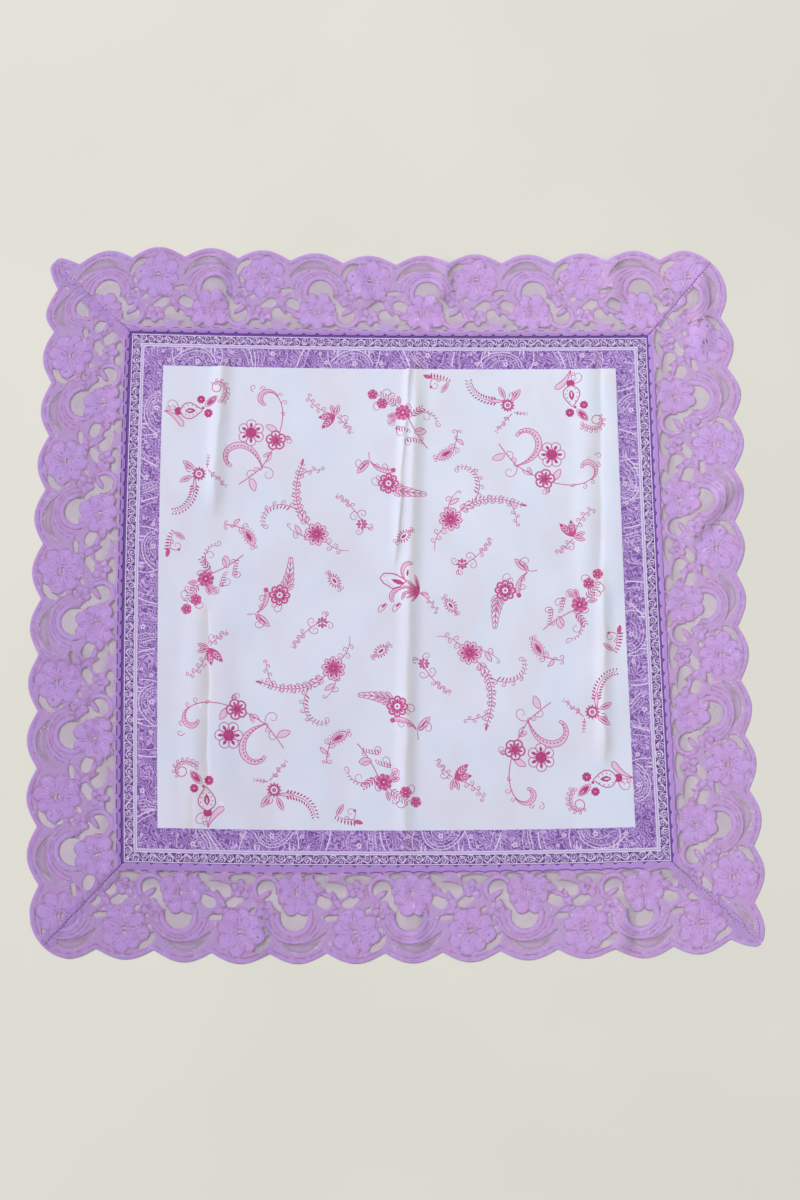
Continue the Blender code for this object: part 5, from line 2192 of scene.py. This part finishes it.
    def net(self, finish: LaceFinish) -> bpy.types.Object:
        """Knit the net: three threads from each second corner of a honeycomb, six in the crescents."""
        host = bpy.data.meshes.new("net_knots")
        host.from_pydata([tuple(knot) for knot in self.knots()], [], [])
        sizes = {"Thread length": self.net_pitch / sqrt(3.0), "Thread width": self.thread_width}
        mesh = grown(host, net_tree(), sizes, finish.net)
        flat = vertex_places(mesh)
        s, v = self.turned(flat[:, 0], flat[:, 1])
        by_v, by_s, out_by_s = self.net_drift_turns
        drift_s, drift_v = np.sin(v * by_v + s * by_s), np.sin(s * out_by_s)
        s, v = s + self.net_drift * drift_s, v + self.net_drift * drift_v
        x, y = self.plan.pattern(s, v)
        turn_s, turn_v = self.net_sway_turns
        sway = self.net_sway * np.sin(s * turn_s) * np.sin(v * turn_v)
        level = self.table.lace_level(x, y) + self.floor_gap + self.net_height + sway
        mesh.vertices.foreach_set("co", self.table.lay(x, y, level).astype(np.float32).ravel())
        mesh.flip_normals()
        add_uv(mesh, "pattern", np.stack([s, v], axis=1))
        # Where the clothwork stands between the net and the daylight, for the net's painted shadow
        rim = self.rim_shade(s, v)
        found = self.pattern.fields(self.plan, s, v)
        add_colour(mesh, "shade", np.stack([rim, found["crescent"], found["crescent_line"], rim], axis=1))
        mesh.name = f"lace_{self.plan.name}_net"
        return add_piece(mesh.name, mesh, [finish.net])


# A cut crosses a grid edge no nearer to its ends than this share
CUT_ROOM = 0.04


def cut_out(s: Points, v: Points, depth: Points) -> tuple[Points, list[np.ndarray], np.ndarray]:
    """Cut the part of a grid where a depth is positive out of it.

    Args:
        s: the grid's places along, one row for each v.
        v: the grid's places outwards.
        depth: how deep each grid point lies inside the shape.

    Returns:
        The places of the vertices, the faces as groups of one size, and the edges
        of the cut, in the order in which the faces run.
    """
    inside = depth > 0.0
    number = np.full(depth.shape, -1, dtype=np.int64)
    number[inside] = np.arange(inside.sum())
    places = [np.stack([s[inside], v[inside]], axis=1)]
    total = int(inside.sum())
    crossings = []
    for axis in (1, 0):
        first = (slice(None), slice(None, -1)) if axis == 1 else (slice(None, -1), slice(None))
        second = (slice(None), slice(1, None)) if axis == 1 else (slice(1, None), slice(None))
        crossed = inside[first] != inside[second]
        here, there = depth[first][crossed], depth[second][crossed]
        share = np.clip(here / (here - there), CUT_ROOM, 1.0 - CUT_ROOM)
        found = np.full(crossed.shape, -1, dtype=np.int64)
        found[crossed] = np.arange(crossed.sum()) + total
        total += int(crossed.sum())
        at_s = s[first][crossed] + (s[second] - s[first])[crossed] * share
        at_v = v[first][crossed] + (v[second] - v[first])[crossed] * share
        places.append(np.stack([at_s, at_v], axis=1))
        crossings.append(found)
    flat_cross, up_cross = crossings
    corners = (number[:-1, :-1], number[:-1, 1:], number[1:, 1:], number[1:, :-1])
    edges = (flat_cross[:-1, :], up_cross[:, 1:], flat_cross[1:, :], up_cross[:, :-1])
    flags = (inside[:-1, :-1], inside[:-1, 1:], inside[1:, 1:], inside[1:, :-1])
    mask = sum(flag.astype(int) << bit for bit, flag in enumerate(flags))
    groups: dict[int, list[np.ndarray]] = {}
    walls = []
    for case in range(1, 2 ** 4):
        here = mask == case
        if not here.any():
            continue
        loop = []
        for bit in range(4):
            if case >> bit & 1:
                loop.append(("corner", corners[bit][here]))
            if (case >> bit & 1) != (case >> (bit + 1) % 4 & 1):
                loop.append(("edge", edges[bit][here]))
        groups.setdefault(len(loop), []).append(np.stack([values for _, values in loop], axis=1))
        for index, (kind, values) in enumerate(loop):
            after, next_values = loop[(index + 1) % len(loop)]
            if kind == after == "edge" and len(loop) > 1:
                walls.append(np.stack([values, next_values], axis=1))
    faces = [np.concatenate(parts) for parts in groups.values()]
    return np.concatenate(places), faces, np.concatenate(walls)


def vertex_places(mesh: bpy.types.Mesh) -> Points:
    """The places of a mesh's vertices, one row for each."""
    places = np.zeros(len(mesh.vertices) * 3, dtype=np.float32)
    mesh.vertices.foreach_get("co", places)
    return places.reshape(-1, 3).astype(float)


# Geometry Nodes for what repeats

NET_THREAD_TURNS = (90.0, 210.0, 330.0)
STITCH_SEGMENTS = 8
STITCH_RINGS = 5


def net_tree() -> bpy.types.NodeTree:
    """A tree that puts three flat threads at each knot of the net."""
    growth = Growth("net_threads", ("Thread length", "Thread width"))
    length = growth.given["Thread length"]
    thread = growth.node("GeometryNodeMeshGrid", Vertices_X=2, Vertices_Y=2, Size_X=length,
                         Size_Y=growth.given["Thread width"])
    offset = growth.node("ShaderNodeCombineXYZ", X=growth.sum("MULTIPLY", length, 0.5))
    shift = growth.node("GeometryNodeTransform", Geometry=thread.outputs["Mesh"],
                        Translation=offset.outputs[0])
    join = growth.node("GeometryNodeJoinGeometry")
    for turn in NET_THREAD_TURNS:
        copy = growth.node("GeometryNodeTransform", Geometry=shift.outputs[0],
                           Rotation=(0.0, 0.0, radians(turn)))
        growth.feed(join.inputs[0], copy.outputs[0])
    spread = growth.node("GeometryNodeInstanceOnPoints", Points=growth.given["Geometry"],
                         Instance=join.outputs[0])
    return growth.finish(spread.outputs[0])


def stitch_tree() -> bpy.types.NodeTree:
    """A tree that sets one stitch after another along a path."""
    growth = Growth("stitch_run", ("Pitch", "Stitch length", "Thread radius"))
    path = growth.node("GeometryNodeMeshToCurve", Mesh=growth.given["Geometry"])
    spaced = growth.node("GeometryNodeResampleCurve", {"mode": "LENGTH"}, Curve=path.outputs[0],
                         Length=growth.given["Pitch"])
    ball = growth.node("GeometryNodeMeshUVSphere", Segments=STITCH_SEGMENTS, Rings=STITCH_RINGS, Radius=0.5)
    across = growth.sum("MULTIPLY", growth.given["Thread radius"], 2.0)
    size = growth.node("ShaderNodeCombineXYZ", X=growth.given["Stitch length"], Y=across, Z=across)
    stitch = growth.node("GeometryNodeTransform", Geometry=ball.outputs["Mesh"], Scale=size.outputs[0])
    tangent = growth.node("GeometryNodeInputTangent")
    turn = growth.node("FunctionNodeAlignRotationToVector", {"axis": "X"}, Vector=tangent.outputs[0])
    spread = growth.node("GeometryNodeInstanceOnPoints", Points=spaced.outputs[0], Instance=stitch.outputs[0],
                         Rotation=turn.outputs[0])
    return growth.finish(spread.outputs[0])


def grown(host: bpy.types.Mesh, tree: bpy.types.NodeTree, sizes: dict[str, float],
          finish: bpy.types.Material) -> bpy.types.Mesh:
    """Run a tree on a mesh and keep the result as a plain mesh.

    Args:
        host: the points or paths that the tree reads.
        tree: the Geometry Nodes tree.
        sizes: a value for each of its named sizes.
        finish: the material that it sets.

    Returns:
        The realized mesh. The host and its modifier are gone.
    """
    guide = linked("guide", host)
    modifier = guide.modifiers.new("repeat", "NODES")
    modifier.node_group = tree
    for item in tree.interface.items_tree:
        if item.in_out == "INPUT" and item.name in sizes:
            modifier[item.identifier] = sizes[item.name]
        elif item.in_out == "INPUT" and item.name == "Finish":
            modifier[item.identifier] = finish
    bpy.context.view_layer.update()
    evaluated = guide.evaluated_get(bpy.context.evaluated_depsgraph_get())
    mesh = bpy.data.meshes.new_from_object(evaluated)
    guide.modifiers.remove(modifier)
    bpy.data.objects.remove(guide)
    bpy.data.meshes.remove(host)
    return mesh


@dataclass
class LaceFinish:
    """The finishes of the lace: clothwork, net and sewing thread."""

    # Painted light across the scarf, at the left and at the right
    painted_light_left: Colour = (0.92, 0.87, 0.94)
    painted_light_right: Colour = (1.17, 1.14, 1.12)
    lilac: Colour = (199, 167, 230)
    warm: Colour = (202, 162, 222)
    warm_patches: Patches = Patches(34.0, 0.35, 0.65, 3.0)
    light: Colour = (204, 168, 236)
    light_share: float = 0.4
    mottle: Colour = (176, 140, 198)
    mottle_patches: Patches = Patches(3.2, 0.38, 0.66, 3.0)
    mottle_share: float = 0.2
    ground: Colour = (190, 163, 202)
    ground_share: float = 0.58
    pores: Colour = (152, 126, 162)
    pore_patches: Patches = Patches(1.5, 0.55, 0.66, 1.0)
    pore_share: float = 0.4
    # Painted highlight: pale glints where the thread streaks catch the light
    glint: Colour = (236, 222, 248)
    glint_patches: Patches = Patches(11.0, 0.52, 0.62)
    glint_from: Pair = (0.6, 0.7)
    glint_share: float = 0.75
    streak_pitch: float = 0.9
    streak_stretch: float = 0.16
    doubled: Colour = (150, 112, 198)
    doubled_share: float = 0.42
    # Painted shade in the thin lines round the motifs, stronger in patches
    shadow: Colour = (144, 106, 132)
    shadow_patches: Patches = Patches(7.0, 0.4, 0.6)
    shadow_shares: Pair = (0.2, 0.55)
    rib_pitch: float = 0.95
    rib_shake: float = 3.0
    row_pitch: float = 1.3
    row_share: float = 0.4
    knit_depth: float = 0.07
    cloth_roughness: float = 0.72
    net_lilac: Colour = (194, 172, 212)
    net_grey: Colour = (202, 184, 208)
    net_patches: Patches = Patches(6.0, 0.35, 0.65)
    close_net: Colour = (194, 165, 212)
    close_share: float = 0.85
    crescent_line: Colour = (164, 144, 154)
    crescent_line_share: float = 0.7
    # Painted shadow that the clothwork casts on the net beside it
    rim: Colour = (170, 143, 150)
    rim_shadow_share: float = 0.6
    net_fibre: float = 0.3
    net_depth: float = 0.04
    net_roughness: float = 0.7
    thread: Colour = (96, 60, 138)
    thread_light: Colour = (122, 86, 164)
    thread_fibre: float = 2400.0
    fibre_from: Pair = (0.3, 0.7)
    thread_depth: float = 0.05
    thread_roughness: float = 0.6

    def __post_init__(self) -> None:
        """Make the three materials."""
        self.clothwork = self.make_clothwork()
        self.net = self.make_net()
        self.sewing = self.make_thread()

    def shade(self, wiring: Wiring) -> tuple[Socket, Socket, Socket, Socket]:
        """The four numbers that a piece's shade attribute holds."""
        shade = wiring.node("ShaderNodeAttribute", {"attribute_name": "shade"})
        split = wiring.node("ShaderNodeSeparateColor", Color=shade.outputs["Color"])
        return split.outputs["Red"], split.outputs["Green"], split.outputs["Blue"], shade.outputs["Alpha"]

    def make_clothwork(self) -> bpy.types.Material:
        """Dense knitted clothwork: upright threads, thin lines round each motif painted in a shadow colour,
        and pale glints painted as highlights.
        """
        wiring = Wiring("lilac_clothwork")
        place, along, out = wiring.flat_places()
        line, ground, doubled, dome = self.shade(wiring)
        streak = wiring.noise(wiring.stretched(place, 1.0, self.streak_stretch), self.streak_pitch, 1.0)
        mottle = wiring.patches(place, self.mottle_patches)
        pores = wiring.sum("MULTIPLY", wiring.patches(place, self.pore_patches), ground)
        glints = wiring.sum("MULTIPLY", wiring.ramp(streak, *self.glint_from),
                            wiring.patches(place, self.glint_patches))
        least, more = self.shadow_shares
        strength = wiring.sum("MULTIPLY_ADD", wiring.patches(place, self.shadow_patches), more, least)
        colour = wiring.mixed(wiring.patches(place, self.warm_patches), self.lilac, self.warm)
        # Layers over the lilac, the glints painted highlights and the thin lines painted shade
        for mask, share, tint in (
            (dome, self.light_share, self.light),
            (mottle, self.mottle_share, self.mottle),
            (ground, self.ground_share, self.ground),
            (pores, self.pore_share, self.pores),
            (glints, self.glint_share, self.glint),
            (doubled, self.doubled_share, self.doubled),
            (line, strength, self.shadow),
        ):
            colour = wiring.layer(colour, mask, share, tint)
        turn = wiring.sum("MULTIPLY", along, 2.0 * pi / self.rib_pitch)
        ribs = wiring.sum("SINE", wiring.sum("ADD", turn, wiring.sum("MULTIPLY", streak, self.rib_shake)))
        rows = wiring.sum("SINE", wiring.sum("MULTIPLY", out, 2.0 * pi / self.row_pitch))
        height = wiring.sum("MULTIPLY_ADD", rows, self.row_share, ribs)
        with_painted_light = wiring.with_painted_light(colour, self.painted_light_left, self.painted_light_right)
        wiring.dress(with_painted_light, self.cloth_roughness, height, self.knit_depth)
        return wiring.material

    def make_net(self) -> bpy.types.Material:
        """The fine net's thread, with painted shadow beside the clothwork, and darker along the crescents'
        lines.
        """
        wiring = Wiring("lilac_net")
        place, _, _ = wiring.flat_places()
        rim, crescent, line, _ = self.shade(wiring)
        colour = wiring.mixed(wiring.patches(place, self.net_patches), self.net_lilac, self.net_grey)
        colour = wiring.layer(colour, crescent, self.close_share, self.close_net)
        colour = wiring.layer(colour, line, self.crescent_line_share, self.crescent_line)
        # Painted shadow of the clothwork on the net
        colour = wiring.layer(colour, rim, self.rim_shadow_share, self.rim)
        with_painted_light = wiring.with_painted_light(colour, self.painted_light_left, self.painted_light_right)
        wiring.dress(with_painted_light, self.net_roughness, wiring.noise(place, self.net_fibre), self.net_depth)
        return wiring.material

    def make_thread(self) -> bpy.types.Material:
        """Darker sewing thread."""
        wiring = Wiring("purple_thread")
        place = wiring.node("ShaderNodeTexCoord").outputs["Object"]
        fibre = wiring.node("ShaderNodeTexNoise", Vector=place, Scale=self.thread_fibre).outputs["Fac"]
        colour = wiring.mixed(wiring.ramp(fibre, *self.fibre_from), self.thread, self.thread_light)
        wiring.dress(colour, self.thread_roughness, fibre, self.thread_depth)
        return wiring.material


@dataclass
class Sewing:
    """The stitch lines: along each heading and across each mitre."""

    table: Table
    heading_pitch: float = 1.5
    heading_stitch: float = 1.75
    plain_line: float = 6.0
    plain_share: float = 0.36
    change: float = 60.0
    run_points: int = 9
    run_uneven: float = 0.16
    run_turn: float = 2.3
    line_uneven: float = 0.3
    line_turn: float = 1.7
    heading_height: float = 0.66
    heading_room: float = 2.0
    mitre_pitch: float = 3.8
    mitre_stitch: float = 2.5
    mitre_radius: float = 0.29
    mitre_height: float = 0.62
    mitre_start_room: float = 3.0
    mitre_tip_room: float = 9.0
    mitre_end_room: float = 3.5
    mitre_points: int = 60
    mitre_wander: float = 0.5
    mitre_turn: float = 0.35

    def build(self, finish: LaceFinish) -> list[bpy.types.Object]:
        """Build one row of stitches for each heading and each mitre."""
        pieces = [self.heading_row(plan, finish) for plan in STRIPS]
        pieces += [self.mitre_row(corner, finish) for corner in sorted(CORNERS)]
        return pieces

    def row(self, name: str, paths: list[np.ndarray], levels: float, sizes: dict[str, float],
            finish: LaceFinish) -> bpy.types.Object:
        """Sew stitches along flat paths, then lay them on the lace."""
        points: list[tuple[float, float, float]] = []
        edges: list[tuple[int, int]] = []
        for path in paths:
            start = len(points)
            points += [(x, y, 0.0) for x, y in path]
            edges += [(start + index, start + index + 1) for index in range(len(path) - 1)]
        host = bpy.data.meshes.new("stitch_path")
        host.from_pydata(points, edges, [])
        mesh = grown(host, stitch_tree(), sizes, finish.sewing)
        flat = vertex_places(mesh)
        x, y = flat[:, 0], flat[:, 1]
        level = self.table.lace_level(x, y) + levels + flat[:, 2]
        mesh.vertices.foreach_set("co", self.table.lay(x, y, level).astype(np.float32).ravel())
        mesh.name = name
        mesh.shade_smooth()
        return add_piece(name, mesh, [finish.sewing])

    def heading_row(self, plan: StripPlan, finish: LaceFinish) -> bpy.types.Object:
        """A short run of stitches in each arch of the heading."""
        pitch = plan.repeat / CUSPS_PER_REPEAT
        count = int(SHOWN_HALF / pitch) + 2
        paths = []
        for index in range(-count, count):
            middle = plan.flower + (index + 0.5) * pitch
            if abs(middle) > SHOWN_HALF - self.heading_room:
                continue
            full = float(smooth_step(np.array((middle - plan.heading.plain_until) / self.change)))
            uneven = 1.0 + self.run_uneven * sin(self.run_turn * index)
            share = (self.plain_share + (plan.heading.share - self.plain_share) * full) * uneven
            part = np.linspace(-0.5, 0.5, self.run_points) * share
            s = middle + part * pitch
            line = self.plain_line + (plan.heading.line - self.plain_line) * full
            line += self.line_uneven * sin(self.line_turn * index)
            paths.append(np.stack(plan.pattern(s, line + plan.heading.bow * (part * 2.0) ** 2), axis=1))
        sizes = {"Pitch": self.heading_pitch, "Stitch length": self.heading_stitch,
                 "Thread radius": plan.heading.radius}
        return self.row(f"stitches_{plan.name}", paths, self.heading_height, sizes, finish)

    def mitre_row(self, corner: tuple[int, int], finish: LaceFinish) -> bpy.types.Object:
        """Small spaced stitches across a corner's mitre."""
        away = np.linspace(SHOWN_HALF + self.mitre_start_room, LACE_HALF - self.mitre_tip_room,
                           self.mitre_points)
        for plan in STRIPS:
            if plan.outwards[0] * corner[0] + plan.outwards[1] * corner[1] > 0:
                s = (plan.along[0] * corner[0] + plan.along[1] * corner[1]) * away
                away = away[plan.edge_v(s) - (away - SHOWN_HALF) > self.mitre_end_room]
        aside = self.mitre_wander * np.sin(away * self.mitre_turn)
        path = np.stack([corner[0] * (away + aside), corner[1] * (away - aside)], axis=1)
        sizes = {"Pitch": self.mitre_pitch, "Stitch length": self.mitre_stitch,
                 "Thread radius": self.mitre_radius}
        depth_name = "back" if corner[1] > 0 else "front"
        side_name = "right" if corner[0] > 0 else "left"
        name = f"mitre_stitches_{depth_name}_{side_name}"
        return self.row(name, [path], self.mitre_height, sizes, finish)


# Stage

@dataclass(frozen=True)
class Studio:
    """The camera at the photograph's angle, soft daylight and a pale floor."""

    lens: float = 35.0
    distance: float = 1.1375
    lean: float = 8.0
    aim: Pair = (0.0081, -0.0098)
    clip_start: float = 0.05
    window_place: tuple[float, float, float] = (-8.4, 7.4, 7.8)
    window_size: float = 4.2
    window_power: float = 1425.0
    window_colour: Colour = (1.0, 0.985, 0.955)
    sky_colour: Colour = (0.93, 0.95, 1.0)
    sky_strength: float = 0.55
    floor_size: float = 6.0
    floor_colour: Colour = (226, 224, 213)
    floor_light: Colour = (230, 227, 217)
    floor_cloud: float = 3.0
    floor_from: Pair = (0.3, 0.7)
    floor_roughness: float = 0.9

    def build(self) -> None:
        """Set up the camera, the daylight and the floor."""
        self.camera()
        self.floor()
        self.window()
        world = bpy.data.worlds.new("daylight")
        world.use_nodes = True
        sky = world.node_tree.nodes["Background"]
        sky.inputs["Color"].default_value = (*self.sky_colour, 1.0)
        sky.inputs["Strength"].default_value = self.sky_strength
        bpy.context.scene.world = world
        bpy.context.scene.view_settings.view_transform = "Standard"

    def camera(self) -> None:
        """Look down at the scarf, leaned off the vertical."""
        data = bpy.data.cameras.new("camera")
        data.lens = self.lens
        data.clip_start = self.clip_start
        camera = linked("camera", data)
        lean = radians(self.lean)
        camera.location = (self.aim[0], self.aim[1] - self.distance * sin(lean), self.distance * cos(lean))
        camera.rotation_euler = (lean, 0.0, 0.0)
        bpy.context.scene.camera = camera

    def window(self) -> None:
        """Add the window's light, a soft square one that faces the scarf."""
        data = bpy.data.lights.new("window", "AREA")
        data.size = self.window_size
        data.energy = self.window_power
        data.color = self.window_colour
        lamp = linked("window", data)
        lamp.location = self.window_place
        lamp.rotation_euler = (-Vector(self.window_place)).to_track_quat("-Z", "Y").to_euler()

    def floor(self) -> None:
        """A plain pale surface under the scarf."""
        half = self.floor_size / 2.0
        corners = np.array([(-half, -half, 0.0), (half, -half, 0.0), (half, half, 0.0), (-half, half, 0.0)])
        mesh = build_mesh("floor", corners, [np.array([[0, 1, 2, 3]])])
        wiring = Wiring("pale_floor")
        place = wiring.node("ShaderNodeTexCoord").outputs["Object"]
        cloud = wiring.node("ShaderNodeTexNoise", Vector=place, Scale=self.floor_cloud, Detail=3.0)
        share = wiring.ramp(cloud.outputs["Fac"], *self.floor_from)
        wiring.dress(wiring.mixed(share, self.floor_colour, self.floor_light), self.floor_roughness)
        add_piece("floor", mesh, [wiring.material])


def report_piece(piece: bpy.types.Object) -> None:
    """Log what a piece came to."""
    LOG.info("%s: %d faces", piece.name, len(piece.data.polygons))


def main() -> None:
    """Build the scarf piece by piece round the frame."""
    logging.basicConfig(level=logging.INFO, format="%(message)s")
    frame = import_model()
    LOG.info("frame nodes: %d", len(frame["nodes"]))
    table = Table()
    Studio().build()

    cotton = PrintedCotton(table).build()
    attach(cotton, "root")
    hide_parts("cotton_square")
    report_piece(cotton)

    finish = LaceFinish()
    pattern = LacePattern()
    sewn = Sewing(table).build(finish)
    for piece in sewn:
        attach(piece, "root")
        report_piece(piece)
    for plan in STRIPS:
        cloth, net = LaceStrip(plan, table, pattern).build(finish)
        for piece in (cloth, net):
            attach(piece, "root")
            report_piece(piece)
        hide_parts(f"lace_{plan.name}")


if __name__ == "__main__":
    main()
